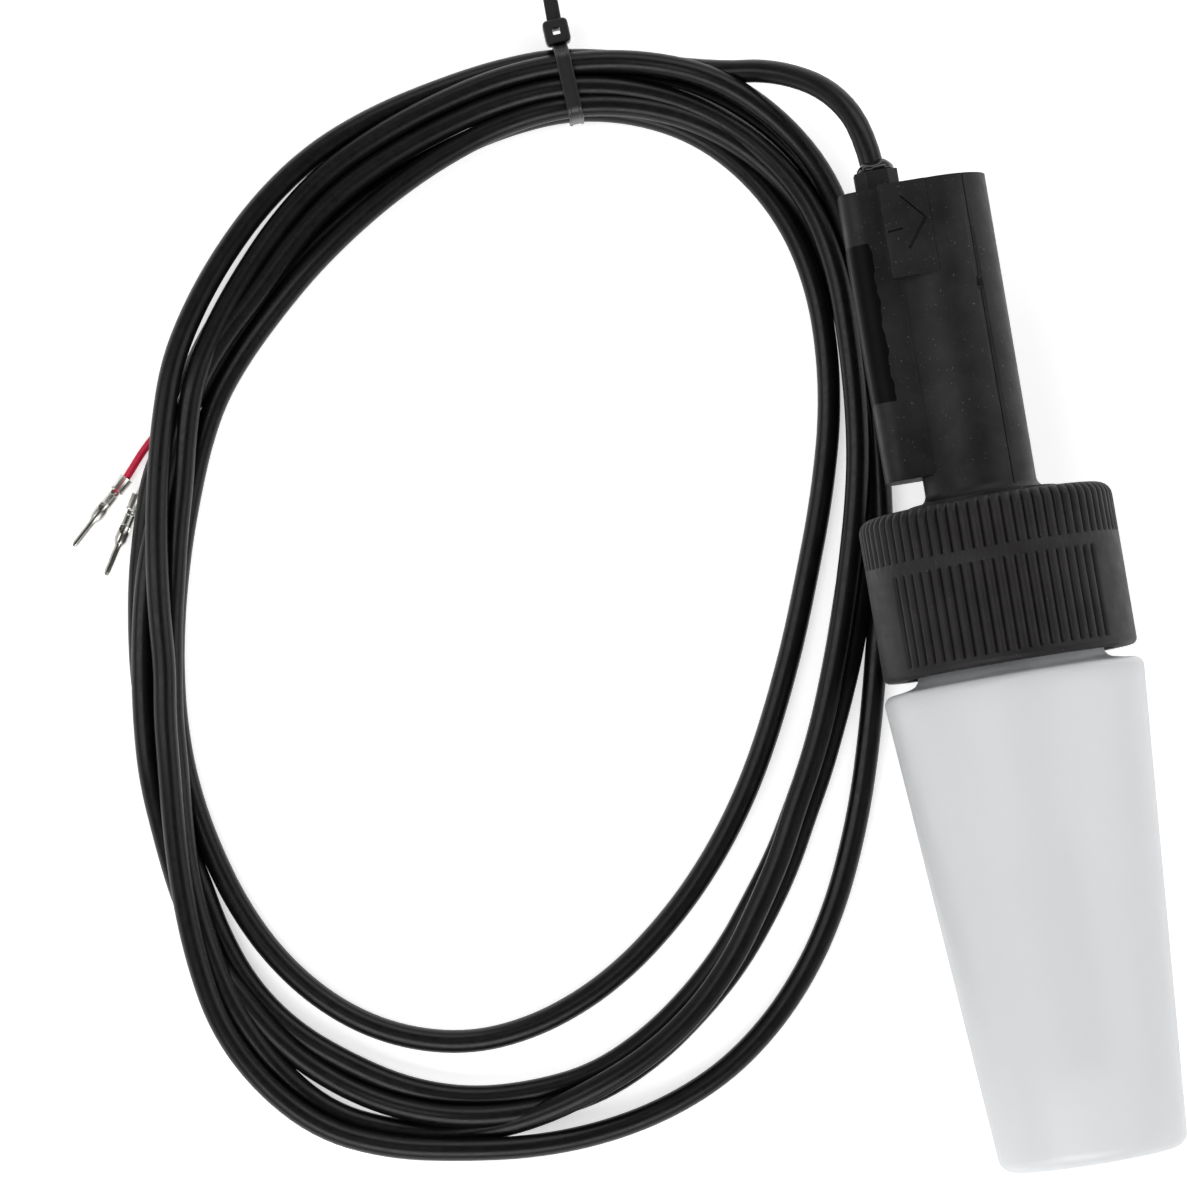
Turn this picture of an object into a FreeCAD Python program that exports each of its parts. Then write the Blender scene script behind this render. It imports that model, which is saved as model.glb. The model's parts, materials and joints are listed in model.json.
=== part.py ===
"""Paddle flow switch with a union nut, a transit cup and a coiled two-core lead.

Millimetres. The switch lies on its side: +Y runs along its axis towards the cable,
+X is the flow direction of the arrow on the housing, and +Z is up, away from the table.
Heights along the axis are counted from the shoulder of the transit cup.
"""

import FreeCAD
import Part

import math
import os

import Sketcher

Vector = FreeCAD.Vector
Rotation = FreeCAD.Rotation
Placement = FreeCAD.Placement

SIZES = {
    # Transit cup
    "cup_depth": 77.0,
    "cup_base_radius": 15.0,
    "cup_shoulder_radius": 21.0,
    "cup_wall": 1.3,
    "cup_floor": 1.6,
    "cup_base_round": 2.4,
    "cup_shoulder_chamfer": 1.0,
    "shoulder_rise": 1.0,
    "neck_radius": 15.0,
    "thread_radius": 16.0,
    "thread_start": 6.0,
    "thread_length": 13.0,
    # Union nut
    "nut_lift": 2.9,
    "nut_height": 26.4,
    "nut_wall": 3.9,
    "nut_bore_radius": 16.5,
    "nut_plate": 3.1,
    "nut_edge_chamfer": 1.7,
    "nut_rim_chamfer": 0.8,
    "rib_count": 72,
    "rib_groove_depth": 0.55,
    "rib_groove_width": 0.9,
    "upper_rib_length": 8.2,
    "rib_band": 1.9,
    "lower_rib_foot": 1.5,
    "lower_rib_count": 21,
    "running_gap": 0.3,
    # Housing
    "stem_radius": 9.0,
    "housing_top": 81.3,
    "collar_radius": 12.0,
    "collar_rise": 0.8,
    "collar_fillet": 1.8,
    "flange_thickness": 3.3,
    "spigot_radius": 12.9,
    "spigot_length": 14.6,
    "spigot_chamfer": 0.8,
    "pivot_drop": 5.0,
    "ear_radius": 3.4,
    "ear_thickness": 3.0,
    "stem_bite": 4.5,
    "slot_depth": 6.6,
    "slot_top": 60.0,
    # Side box with the reed switch
    "box_reach": 14.9,
    "box_half_depth": 5.0,
    "box_corner_round": 3.0,
    "pocket_wall": 1.5,
    "pocket_width": 4.8,
    "pocket_floor": 1.6,
    "mouth_width": 8.8,
    "mouth_depth": 6.8,
    # Arrow pad
    "pad_start": 1.5,
    "pad_width": 7.4,
    "pad_length": 15.1,
    "pad_rise": 0.25,
    # Cable entry
    "gland_width": 6.9,
    "gland_height": 3.2,
    "gland_chamfer": 1.7,
    "gland_offset": 8.3,
    "bead_height": 1.8,
    "bead_radius": 2.9,
    "bead_wall": 0.4,
    "cable_diameter": 3.8,
    "cable_fit": 0.05,
    "jacket_depth": 3.2,
    "core_diameter": 1.3,
    "core_spacing": 2.0,
    # Seal
    "ring_section": 2.2,
    "ring_squeeze": 0.3,
    "ring_groove_width": 2.8,
    "ring_height": 15.6,
    # Paddle
    "swing": 5.0,
    "pin_radius": 1.0,
    "pin_fit": 0.05,
    "hub_radius": 2.8,
    "hub_length": 3.8,
    "hub_gap": 0.3,
    "lever_width": 3.6,
    "lever_height": 47.0,
    "magnet_length": 8.0,
    "magnet_width": 3.0,
    "magnet_depth": 2.4,
    "magnet_top_wall": 0.75,
    "arm_width": 4.4,
    "arm_depth": 3.4,
    "scoop_top": 26.0,
    "scoop_length": 37.0,
    "scoop_radius": 7.5,
    "scoop_depth": 11.0,
    "scoop_wall": 1.5,
    # Return spring
    "spring_wire": 0.5,
    "spring_radius": 1.65,
    "spring_pitch": 0.58,
    "spring_turns": 1.5,
    "spring_leg": 5.0,
    # Reed switch and its carrier
    "reed_rise": 17.9,
    "glass_length": 14.0,
    "glass_radius": 1.1,
    "glass_wall": 0.3,
    "glass_tip_radius": 0.77,
    "seal_fit": 0.01,
    "lead_radius": 0.28,
    "lead_reach": 3.0,
    "blade_width": 0.9,
    "blade_thickness": 0.18,
    "blade_gap": 0.2,
    "blade_overlap": 1.4,
    "board_top_gap": 2.1,
    "board_width": 5.8,
    "board_thickness": 0.8,
    "board_back_gap": 0.4,
    "board_foot": 0.3,
    "reed_foot_room": 1.1,
    "solder_radius": 0.75,
    # Coil of the lead and its tie
    "coil_height": 8.6,
    "coil_low_height": 4.4,
    "coil_slope_start": -50.0,
    "coil_slope_end": -16.0,
    "tie_x": -54.8,
    "tie_y": 108.1,
    "tie_turn": 7.5,
    "tie_span": 13.2,
    "tie_height": 9.6,
    "tie_width": 2.4,
    "tie_thickness": 1.0,
    "tie_round": 2.4,
    "tie_head_length": 4.4,
    "tie_head_width": 4.2,
    "tie_head_height": 3.6,
    "tie_tail": 22.0,
    "tie_gap": 0.2,
    # Bare cores and their pins
    "crimp_radius": 1.15,
    "crimp_length": 2.8,
    "waist_radius": 0.75,
    "waist_length": 2.4,
    "shell_radius": 1.05,
    "shell_length": 3.4,
    "contact_radius": 0.55,
    "contact_length": 5.6,
    "contact_round": 0.3,
}

# The cable's route from the housing to the turns, chosen along the photograph:
# x, y from the cup's shoulder, and z above the table.
LEAD_ROUTE = [
    (-8.3, 78.3, 21.0),
    (-8.3, 89.8, 21.0),
    (-12.4, 99.6, 16.0),
    (-21.0, 105.4, 9.8),
    (-30.5, 107.0, 5.4),
]

# The bare cores, from the jacket's end under the turns to their pins.
RED_ROUTE = [
    (-125.6, 66.8, 1.2),
    (-129.4, 64.6, 1.3),
    (-133.2, 61.2, 1.2),
    (-136.4, 57.3, 1.15),
]
WHITE_ROUTE = [
    (-126.0, 63.6, 1.2),
    (-128.9, 61.0, 1.3),
    (-132.0, 57.8, 1.2),
    (-134.9, 54.2, 1.15),
]
RED_PIN_TOWARDS = (-147.6, 46.9)
WHITE_PIN_TOWARDS = (-142.4, 41.9)

# Outlines of the wound cable as it lies, outside and inside: x, and y from the cup's shoulder.
COIL_OUTSIDE = [
    (-139.4, 34.0), (-132.6, 56.1), (-121.3, 84.0), (-104.0, 102.6), (-81.7, 112.3), (-64.7, 114.0),
    (-48.3, 112.8), (-32.5, 108.6), (-19.4, 98.9), (-12.1, 82.5), (-11.1, 60.8), (-12.8, 36.2),
    (-19.4, 2.5), (-30.5, -28.7), (-46.3, -49.3), (-69.0, -61.3), (-90.8, -63.6), (-113.4, -59.2),
    (-130.0, -47.6), (-139.0, -29.0), (-142.2, 1.0),
]
COIL_INSIDE = [
    (-130.6, 29.2), (-125.0, 51.5), (-118.0, 66.9), (-104.4, 82.2), (-84.6, 95.2), (-66.9, 101.6),
    (-50.2, 102.4), (-34.8, 95.5), (-24.9, 80.4), (-22.6, 59.4), (-26.0, 36.8), (-32.7, 18.0),
    (-43.5, -5.1), (-55.9, -22.0), (-73.1, -35.8), (-90.5, -41.3), (-106.6, -38.3), (-119.8, -28.0),
    (-128.1, -13.4), (-132.1, 5.6),
]

ALONG_Y = Rotation(Vector(1, 0, 0), -90)
AGAINST_Y = Rotation(Vector(1, 0, 0), 90)
ALONG_X = Rotation(Vector(0, 1, 0), 90)
# Lays a half cylinder along Y with its round side towards +X.
HALF_ALONG_Y = Rotation(Vector(1, 1, 1), -120)

# How far a cutting form reaches past what it cuts.
OVERSHOOT = 1.0
# Two lengths nearer than this are the same.
NEAR = 1e-4
# The share of a run that a bend in the cable takes up at each end.
BEND_SHARE = 0.45


class Size:
    """A number together with the sheet formula that it comes from."""

    def __init__(self, number, formula):
        self.number = float(number)
        self.formula = formula

    def __add__(self, other):
        other = size_of(other)
        return Size(self.number + other.number, f"({self.formula} + {other.formula})")

    def __sub__(self, other):
        other = size_of(other)
        return Size(self.number - other.number, f"({self.formula} - {other.formula})")

    def __mul__(self, other):
        other = size_of(other)
        return Size(self.number * other.number, f"({self.formula} * {other.formula})")

    def __truediv__(self, other):
        other = size_of(other)
        return Size(self.number / other.number, f"({self.formula} / {other.formula})")

    def __neg__(self):
        return Size(-self.number, f"(0 - {self.formula})")


def size_of(thing):
    """Gives a plain number the same form as a size from the sheet."""
    if isinstance(thing, Size):
        return thing
    return Size(thing, f"({float(thing)!r})")


FULL_TURN = Size(360.0, "360")
OCTAGON_SIDE = Size(math.tan(math.radians(22.5)), "tan(22.5)")


def sine(angle):
    """Sine of a size in degrees."""
    return Size(math.sin(math.radians(angle.number)), f"sin({angle.formula})")


def make_sheet(doc):
    """Writes the driving dimensions into a spreadsheet and returns them as sizes."""
    sheet = doc.addObject("Spreadsheet::Sheet", "Sizes")
    sizes = {}
    for row, (name, number) in enumerate(SIZES.items(), start=1):
        sheet.set(f"A{row}", name)
        sheet.set(f"B{row}", str(number))
        sheet.setAlias(f"B{row}", name)
        sizes[name] = Size(number, f"Sizes.{name}")
    doc.recompute()
    return sizes


def bind(thing, **sizes):
    """Ties properties of an object to sizes."""
    for name, size in sizes.items():
        thing.setExpression(name, size_of(size).formula)


def put(thing, spot, turn=None):
    """Turns an object and ties its base point to three sizes."""
    if turn is not None:
        thing.Placement = Placement(Vector(), turn)
    for letter, size in zip("xyz", spot):
        thing.setExpression(f"Placement.Base.{letter}", size_of(size).formula)


def origin_part(body, role):
    """One of a body's own origin planes or axes."""
    return next(part for part in body.Origin.OriginFeatures if part.Role == role)


def block(doc, low, high, name="Block", body=None, cut=False):
    """A box between two corners, alone or as a feature of a body."""
    if body is None:
        box = doc.addObject("Part::Box", name)
    else:
        box = body.newObject("PartDesign::SubtractiveBox" if cut else "PartDesign::AdditiveBox", name)
    spans = [size_of(top) - bottom for bottom, top in zip(low, high)]
    bind(box, Length=spans[0], Width=spans[1], Height=spans[2])
    put(box, low)
    return box


def rod(doc, foot, radius, length, turn=None, name="Rod", body=None, cut=False):
    """A cylinder from its foot, along Z unless it is turned."""
    if body is None:
        cylinder = doc.addObject("Part::Cylinder", name)
    else:
        kind = "PartDesign::SubtractiveCylinder" if cut else "PartDesign::AdditiveCylinder"
        cylinder = body.newObject(kind, name)
    bind(cylinder, Radius=radius, Height=length)
    put(cylinder, foot, turn)
    return cylinder


def outline(body, corners, name):
    """A closed sketch of straight sides on the XY plane, each corner tied to two sizes."""
    sketch = body.newObject("Sketcher::SketchObject", name)
    sketch.AttachmentSupport = (origin_part(body, "XY_Plane"), "")
    sketch.MapMode = "FlatFace"
    spots = [Vector(size_of(x).number, size_of(y).number, 0) for x, y in corners]
    count = len(spots)
    for i in range(count):
        sketch.addGeometry(Part.LineSegment(spots[i], spots[(i + 1) % count]), False)
    for i in range(count):
        sketch.addConstraint(Sketcher.Constraint("Coincident", i, 2, (i + 1) % count, 1))
    for i, (x, y) in enumerate(corners):
        for kind, size in (("DistanceX", size_of(x)), ("DistanceY", size_of(y))):
            index = sketch.addConstraint(Sketcher.Constraint(kind, -1, 1, i, 1, size.number))
            sketch.setExpression(f"Constraints[{index}]", size.formula)
    return sketch


def turned(body, corners, name):
    """Revolves an outline, in radius and height, about the Y axis."""
    sketch = outline(body, corners, name + "Profile")
    feature = body.newObject("PartDesign::Revolution", name)
    feature.Profile = sketch
    feature.ReferenceAxis = (sketch, ["V_Axis"])
    feature.Angle = 360
    body.Document.recompute()
    return feature


def ring_edges(feature, places):
    """Names of the round edges about the Y axis at the given radii and heights."""
    names = []
    for index, edge in enumerate(feature.Shape.Edges, start=1):
        if not isinstance(edge.Curve, Part.Circle):
            continue
        for radius, height in places:
            near = abs(edge.Curve.Radius - size_of(radius).number) < NEAR
            level = abs(edge.Curve.Center.y - size_of(height).number) < NEAR
            if near and level:
                names.append(f"Edge{index}")
    return names


def straight_edges(feature, test):
    """Names of the straight edges whose two ends both pass a test."""
    names = []
    for index, edge in enumerate(feature.Shape.Edges, start=1):
        ends = [vertex.Point for vertex in edge.Vertexes]
        if isinstance(edge.Curve, Part.Line) and len(ends) == 2 and all(test(end) for end in ends):
            names.append(f"Edge{index}")
    return names


def soften(body, feature, edges, radius, name, kind="Fillet"):
    """Rounds or chamfers named edges of a feature."""
    dressed = body.newObject("PartDesign::" + kind, name)
    dressed.Base = (feature, edges)
    bind(dressed, **{"Radius" if kind == "Fillet" else "Size": radius})
    body.Document.recompute()
    return dressed


def combine(doc, kind, parts, name):
    """A Part boolean of several objects: MultiFuse, MultiCommon or Cut."""
    result = doc.addObject("Part::" + kind, name)
    if kind == "Cut":
        result.Base, result.Tool = parts
    else:
        result.Shapes = parts
    return result


def levels(d):
    """Heights along the axis that several pieces share."""
    nut_top = d["nut_lift"] + d["nut_height"]
    flange_top = nut_top - d["nut_plate"] - d["running_gap"]
    flange_bottom = flange_top - d["flange_thickness"]
    spigot_end = flange_bottom - d["spigot_length"]
    return {
        "nut_top": nut_top,
        "flange_top": flange_top,
        "flange_bottom": flange_bottom,
        "spigot_end": spigot_end,
        "pivot": spigot_end - d["pivot_drop"],
        "neck_top": flange_bottom - d["running_gap"],
        "collar_top": nut_top + d["collar_rise"],
        "gland_top": d["housing_top"] + d["gland_height"],
        "bead_top": d["housing_top"] + d["gland_height"] + d["bead_height"],
    }


def nut_radius(d):
    """Radius of the nut over its ribs."""
    return d["nut_bore_radius"] + d["nut_wall"]


def reed_height(d):
    """Height of the reed's middle, counted on from the nut's top."""
    return d["nut_lift"] + d["nut_height"] + d["reed_rise"]


def reed_places(d):
    """Where the reed pocket and what it holds lie across the side box."""
    pocket_left = -(d["box_reach"] - d["pocket_wall"])
    board_back = pocket_left + d["board_back_gap"]
    board_face = board_back + d["board_thickness"]
    reed_end = reed_height(d) - d["glass_length"] / 2 - d["lead_reach"]
    pocket_bottom = reed_end - d["reed_foot_room"]
    mouth_bottom = d["housing_top"] - d["mouth_depth"]
    return {
        "pocket_left": pocket_left,
        "pocket_right": pocket_left + d["pocket_width"],
        "box_bottom": pocket_bottom - d["pocket_floor"],
        "pocket_bottom": pocket_bottom,
        "mouth_bottom": mouth_bottom,
        "half_depth": d["box_half_depth"] - d["pocket_wall"],
        "board_back": board_back,
        "board_face": board_face,
        "board_bottom": pocket_bottom + d["board_foot"],
        "board_top": mouth_bottom - d["board_top_gap"],
        "reed_x": board_face + d["glass_radius"] + d["cable_fit"],
    }


def slot_half_width(d):
    """Half the lever slot: what the lever's tip sweeps at full swing, and its clearance."""
    return d["lever_height"] * sine(d["swing"]) + d["lever_width"] / 2 + d["running_gap"]


def new_body(doc, name):
    body = doc.addObject("PartDesign::Body", name)
    body.Label = name
    return body


def transit_cup(doc, d, at):
    """Tapered cup with a rounded foot, a crowned shoulder and a threaded neck."""
    body = new_body(doc, "transit_cup")
    wall = d["cup_wall"]
    thread_end = d["thread_start"] + d["thread_length"]
    neck_bore = d["neck_radius"] - wall
    shell = turned(body, [
        (0, -d["cup_depth"]),
        (d["cup_base_radius"], -d["cup_depth"]),
        (d["cup_shoulder_radius"], 0),
        (d["neck_radius"], d["shoulder_rise"]),
        (d["neck_radius"], d["thread_start"]),
        (d["thread_radius"], d["thread_start"] + wall / 2),
        (d["thread_radius"], thread_end - wall / 2),
        (d["neck_radius"], thread_end),
        (d["neck_radius"], at["neck_top"]),
        (neck_bore, at["neck_top"]),
        (neck_bore, d["shoulder_rise"] - wall),
        (d["cup_shoulder_radius"] - wall, -wall),
        (d["cup_base_radius"] - wall, d["cup_floor"] - d["cup_depth"]),
        (0, d["cup_floor"] - d["cup_depth"]),
    ], "CupShell")
    foot = ring_edges(shell, [(d["cup_base_radius"], -d["cup_depth"])])
    rounded = soften(body, shell, foot, d["cup_base_round"], "FootRound")
    rim = ring_edges(rounded, [(d["cup_shoulder_radius"], 0)])
    soften(body, rounded, rim, d["cup_shoulder_chamfer"], "ShoulderChamfer", "Chamfer")
    return body


def union_nut(doc, d, at):
    """Nut with a loose top plate and two tiers of grip ribs, half a rib apart, parted by a plain band."""
    body = new_body(doc, "union_nut")
    top = at["nut_top"]
    under_plate = top - d["nut_plate"]
    hole = d["collar_radius"] + d["running_gap"]
    shell = turned(body, [
        (d["nut_bore_radius"], d["nut_lift"]),
        (nut_radius(d) - d["nut_rim_chamfer"], d["nut_lift"]),
        (nut_radius(d), d["nut_lift"] + d["nut_rim_chamfer"]),
        (nut_radius(d), top),
        (hole, top),
        (hole, under_plate),
        (d["nut_bore_radius"], under_plate),
    ], "NutShell")
    edge = ring_edges(shell, [(nut_radius(d), top)])
    base = soften(body, shell, edge, d["nut_edge_chamfer"], "TopChamfer", "Chamfer")

    upper_low = top - d["upper_rib_length"]
    lower_low = d["nut_lift"] + d["lower_rib_foot"]
    lower_high = upper_low - d["rib_band"]
    pitch = FULL_TURN / d["rib_count"]
    span = pitch * (d["lower_rib_count"] - 1)
    feature = groove_tier(body, d, upper_low, top + OVERSHOOT, pitch / 2, FULL_TURN, d["rib_count"], "Upper")
    for side, label in ((0, "Front"), (FULL_TURN / 2, "Back")):
        start = size_of(side) - span / 2
        feature = groove_tier(body, d, lower_low, lower_high, start, span, d["lower_rib_count"], label)
    body.Tip = feature
    body.Document.recompute()
    if body.Shape.Volume > base.Shape.Volume - d["rib_groove_depth"].number:
        raise RuntimeError("the rib grooves cut nothing")
    return body


def groove_tier(body, d, low, high, start, span, count, label):
    """A tier of grooves between the ribs, round the nut's Y axis."""
    half = d["rib_groove_width"] / 2
    depth = d["rib_groove_depth"]
    groove = block(body.Document, (-half, low, nut_radius(d) - depth), (half, high, nut_radius(d) + OVERSHOOT),
                   label + "Groove", body, cut=True)
    first = Rotation(Vector(0, 1, 0), size_of(start).number)
    foot = first.multVec(Vector(-half.number, 0, (nut_radius(d) - depth).number))
    put(groove, (foot.x, low, foot.z), first)
    body.Document.recompute()
    ring = body.newObject("PartDesign::PolarPattern", label + "Ring")
    ring.Originals = [groove]
    ring.Axis = (origin_part(body, "Y_Axis"), [""])
    bind(ring, Angle=span, Occurrences=count)
    body.Tip = ring
    body.Document.recompute()
    return ring


def switch_body(doc, d, at):
    """Moulded housing: spigot, flange, collar, stem, reed box, arrow pad and clevis ears."""
    body = new_body(doc, "switch_body")
    top = d["housing_top"]
    flange = d["nut_bore_radius"] - d["running_gap"]
    groove_floor = ring_centre_radius(d) - d["ring_section"] / 2 - d["cable_fit"]
    groove_low = d["ring_height"] - d["ring_groove_width"] / 2
    groove_high = d["ring_height"] + d["ring_groove_width"] / 2
    chamfer = d["spigot_chamfer"]
    core = turned(body, [
        (0, at["spigot_end"]),
        (d["spigot_radius"] - chamfer, at["spigot_end"]),
        (d["spigot_radius"], at["spigot_end"] + chamfer),
        (d["spigot_radius"], groove_low),
        (groove_floor, groove_low),
        (groove_floor, groove_high),
        (d["spigot_radius"], groove_high),
        (d["spigot_radius"], at["flange_bottom"]),
        (flange, at["flange_bottom"]),
        (flange, at["flange_top"]),
        (d["collar_radius"], at["flange_top"]),
        (d["collar_radius"], at["collar_top"]),
        (d["stem_radius"], at["collar_top"]),
        (d["stem_radius"], top),
        (0, top),
    ], "Core")
    waist = ring_edges(core, [(d["stem_radius"], at["collar_top"])])
    soften(body, core, waist, d["collar_fillet"], "CollarFillet")

    box = reed_places(d)
    depth = d["box_half_depth"]
    block(doc, (-d["box_reach"], box["box_bottom"], -depth), (-d["stem_bite"], top, depth), "ReedBox", body)
    doc.recompute()
    left = -d["box_reach"].number
    corners = straight_edges(body.Tip, lambda end: abs(end.x - left) < NEAR)
    upright = [name for name in corners if is_upright(body.Tip, name)]
    soften(body, body.Tip, upright, d["box_corner_round"], "BoxRound")

    front = d["stem_radius"] + d["pad_rise"]
    pad_end = d["pad_start"] + d["pad_width"]
    block(doc, (-pad_end, top - d["pad_length"], 0), (-d["pad_start"], top, front), "ArrowPad", body)

    ear = d["slot_depth"] / 2 + d["ear_thickness"]
    block(doc, (-d["ear_radius"], at["pivot"], -ear), (d["ear_radius"], at["spigot_end"] + OVERSHOOT, ear), "Ears", body)
    rod(doc, (0, at["pivot"], -ear), d["ear_radius"], ear * 2, name="EarEnds", body=body)

    half = slot_half_width(d)
    slot = d["slot_depth"] / 2
    low = at["pivot"] - d["ear_radius"] - OVERSHOOT
    block(doc, (-half, low, -slot), (half, d["slot_top"], slot), "LeverSlot", body, cut=True)
    reach = ear + OVERSHOOT
    rod(doc, (0, at["pivot"], -reach), d["pin_radius"], reach * 2, name="PinBore", body=body, cut=True)

    across = box["half_depth"]
    block(doc, (box["pocket_left"], box["pocket_bottom"], -across), (box["pocket_right"], top + OVERSHOOT, across),
          "ReedPocket", body, cut=True)
    mouth_right = box["pocket_left"] + d["mouth_width"]
    block(doc, (box["pocket_left"], box["mouth_bottom"], -across), (mouth_right, top + OVERSHOOT, across),
          "PocketMouth", body, cut=True)
    doc.recompute()
    return body


def is_upright(feature, name):
    """Whether an edge runs along the Y axis."""
    ends = [vertex.Point for vertex in feature.getSubObject(name).Vertexes]
    return abs(ends[0].x - ends[1].x) < NEAR and abs(ends[0].z - ends[1].z) < NEAR


def ring_centre_radius(d):
    """Radius of the seal's centre line: it stands clear of the cup's neck when fitted."""
    neck_bore = d["neck_radius"] - d["cup_wall"]
    return neck_bore - d["ring_squeeze"] - d["ring_section"] / 2


def o_ring(doc, d):
    """Seal squeezed flat against its groove, the neck and the sides, with eight faces."""
    body = new_body(doc, "o_ring")
    middle = ring_centre_radius(d)
    height = d["ring_height"]
    flat = d["ring_section"] / 2
    edge = flat * OCTAGON_SIDE
    turned(body, [
        (middle - flat, height - edge),
        (middle - edge, height - flat),
        (middle + edge, height - flat),
        (middle + flat, height - edge),
        (middle + flat, height + edge),
        (middle + edge, height + flat),
        (middle - edge, height + flat),
        (middle - flat, height + edge),
    ], "Seal")
    return body


def cable_gland(doc, d):
    """Octagonal block on the box with a hole for the cable."""
    body = new_body(doc, "cable_gland")
    half = d["gland_width"] / 2
    middle = -d["gland_offset"]
    block(doc, (middle - half, d["housing_top"], -half),
          (middle + half, d["housing_top"] + d["gland_height"], half), "GlandBlock", body)
    doc.recompute()
    upright = straight_edges(body.Tip, lambda end: True)
    upright = [name for name in upright if is_upright(body.Tip, name)]
    soften(body, body.Tip, upright, d["gland_chamfer"], "GlandCorners", "Chamfer")
    rod(doc, (middle, d["housing_top"] - OVERSHOOT, 0), d["cable_diameter"] / 2 + d["cable_fit"],
        d["gland_height"] + OVERSHOOT * 2, ALONG_Y, "CableHole", body, cut=True)
    doc.recompute()
    return body


def sealant(doc, d):
    """Bead of sealant round the cable on the gland."""
    body = new_body(doc, "sealant")
    hole = d["cable_diameter"] / 2 + d["cable_fit"]
    turned(body, [
        (hole, 0),
        (d["bead_radius"], 0),
        (d["bead_radius"] - d["bead_wall"] / 2, d["bead_height"] / 2),
        (hole + d["bead_wall"], d["bead_height"]),
        (hole, d["bead_height"]),
    ], "Bead")
    return body


def potting(doc, d):
    """Epoxy in the pocket's mouth, cast round the cable and its two cores."""
    box = reed_places(d)
    top = d["housing_top"]
    across = box["half_depth"]
    fill = block(doc, (box["pocket_left"], box["mouth_bottom"], -across),
                 (box["pocket_left"] + d["mouth_width"], top, across), "PottingFill")
    tools = [rod(doc, (-d["gland_offset"], top - d["jacket_depth"], 0), d["cable_diameter"] / 2 + d["cable_fit"],
                 d["jacket_depth"] + OVERSHOOT, ALONG_Y, "PottingJacket")]
    for side, name in ((1, "PottingRed"), (-1, "PottingWhite")):
        tools.append(core_rod(doc, d, side, d["cable_fit"], name))
    return combine(doc, "Cut", (fill, combine(doc, "MultiFuse", tools, "PottingTools")), "potting")


def core_rod(doc, d, side, fit, name, body=None):
    """One of the cable's cores, from the jacket's end down to its solder joint."""
    box = reed_places(d)
    radius = d["core_diameter"] / 2
    start = Vector(-d["gland_offset"].number, (d["housing_top"] - d["jacket_depth"]).number,
                   side * (radius + d["cable_fit"]).number)
    end = Vector((box["board_face"] + d["solder_radius"] + radius).number, core_joint_height(d).number,
                 side * d["core_spacing"].number)
    path = end - start
    turn = Rotation(Vector(0, 0, 1), path)
    return rod(doc, (start.x, start.y, start.z), radius + fit, path.Length, turn, name, body)


def inner_core(doc, d, name, side):
    body = new_body(doc, name)
    core_rod(doc, d, side, 0, name + "Rod", body)
    return body


def core_joint_height(d):
    """Height of the joints where the cores meet the board."""
    return reed_places(d)["board_top"] - d["core_spacing"]


def circuit_board(doc, d):
    body = new_body(doc, "circuit_board")
    box = reed_places(d)
    half = d["board_width"] / 2
    block(doc, (box["board_back"], box["board_bottom"], -half),
          (box["board_face"], box["board_top"], half), "Board", body)
    return body


def solder_joints(doc, d):
    """Four joints on the board: the reed's two leads and the two cores."""
    box = reed_places(d)
    reach = d["glass_length"] / 2 + d["lead_reach"] / 2
    lead_rise = box["reed_x"] - d["lead_radius"] - box["board_face"]
    core_rise = d["solder_radius"]
    spots = [
        (reed_height(d) + reach, 0, lead_rise),
        (reed_height(d) - reach, 0, lead_rise),
        (core_joint_height(d), d["core_spacing"], core_rise),
        (core_joint_height(d), -d["core_spacing"], core_rise),
    ]
    joints = []
    for index, (height, across, rise) in enumerate(spots):
        joints.append(rod(doc, (box["board_face"], height, across), d["solder_radius"], rise, ALONG_X,
                          f"Joint{index}"))
    return combine(doc, "MultiFuse", joints, "solder_joints")


def reed_glass(doc, d):
    """Glass tube with sealed ends, hollow between them."""
    body = new_body(doc, "reed_glass")
    half = d["glass_length"] / 2
    end = half - d["glass_radius"]
    bore = d["glass_radius"] - d["glass_wall"]
    hole = d["lead_radius"] + d["seal_fit"]
    turned(body, [
        (hole, -half),
        (d["glass_tip_radius"], -half),
        (d["glass_radius"], -end),
        (d["glass_radius"], end),
        (d["glass_tip_radius"], half),
        (hole, half),
        (hole, end),
        (bore, end - d["glass_wall"]),
        (bore, d["glass_wall"] - end),
        (hole, -end),
    ], "Glass")
    return body


def reed_blade(doc, d, name, side):
    """A round lead that runs through the glass seal and ends in a flat blade."""
    box = reed_places(d)
    half = d["glass_length"] / 2
    seal = half - d["glass_radius"]
    turn = ALONG_Y if side > 0 else AGAINST_Y
    root = seal - d["glass_wall"] * 2
    overlap = d["glass_wall"]
    lead = rod(doc, (box["reed_x"], reed_height(d) + (root - overlap) * side, 0), d["lead_radius"],
               half - root + overlap + d["lead_reach"], turn, name + "Lead")
    shift = (d["blade_gap"] + d["blade_thickness"]) / 2 * side
    inner = reed_height(d) - d["blade_overlap"] / 2 * side
    outer = reed_height(d) + root * side
    low, high = (inner, outer) if side > 0 else (outer, inner)
    thin = d["blade_thickness"] / 2
    wide = d["blade_width"] / 2
    blade = block(doc, (box["reed_x"] + shift - thin, low, -wide), (box["reed_x"] + shift + thin, high, wide),
                  name + "Blade")
    return combine(doc, "MultiFuse", [lead, blade], name)


def pivot_pin(doc, d, at):
    body = new_body(doc, "pivot_pin")
    half = d["slot_depth"] / 2 + d["ear_thickness"]
    rod(doc, (0, at["pivot"], -half), d["pin_radius"], half * 2, name="Pin", body=body)
    return body


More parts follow.
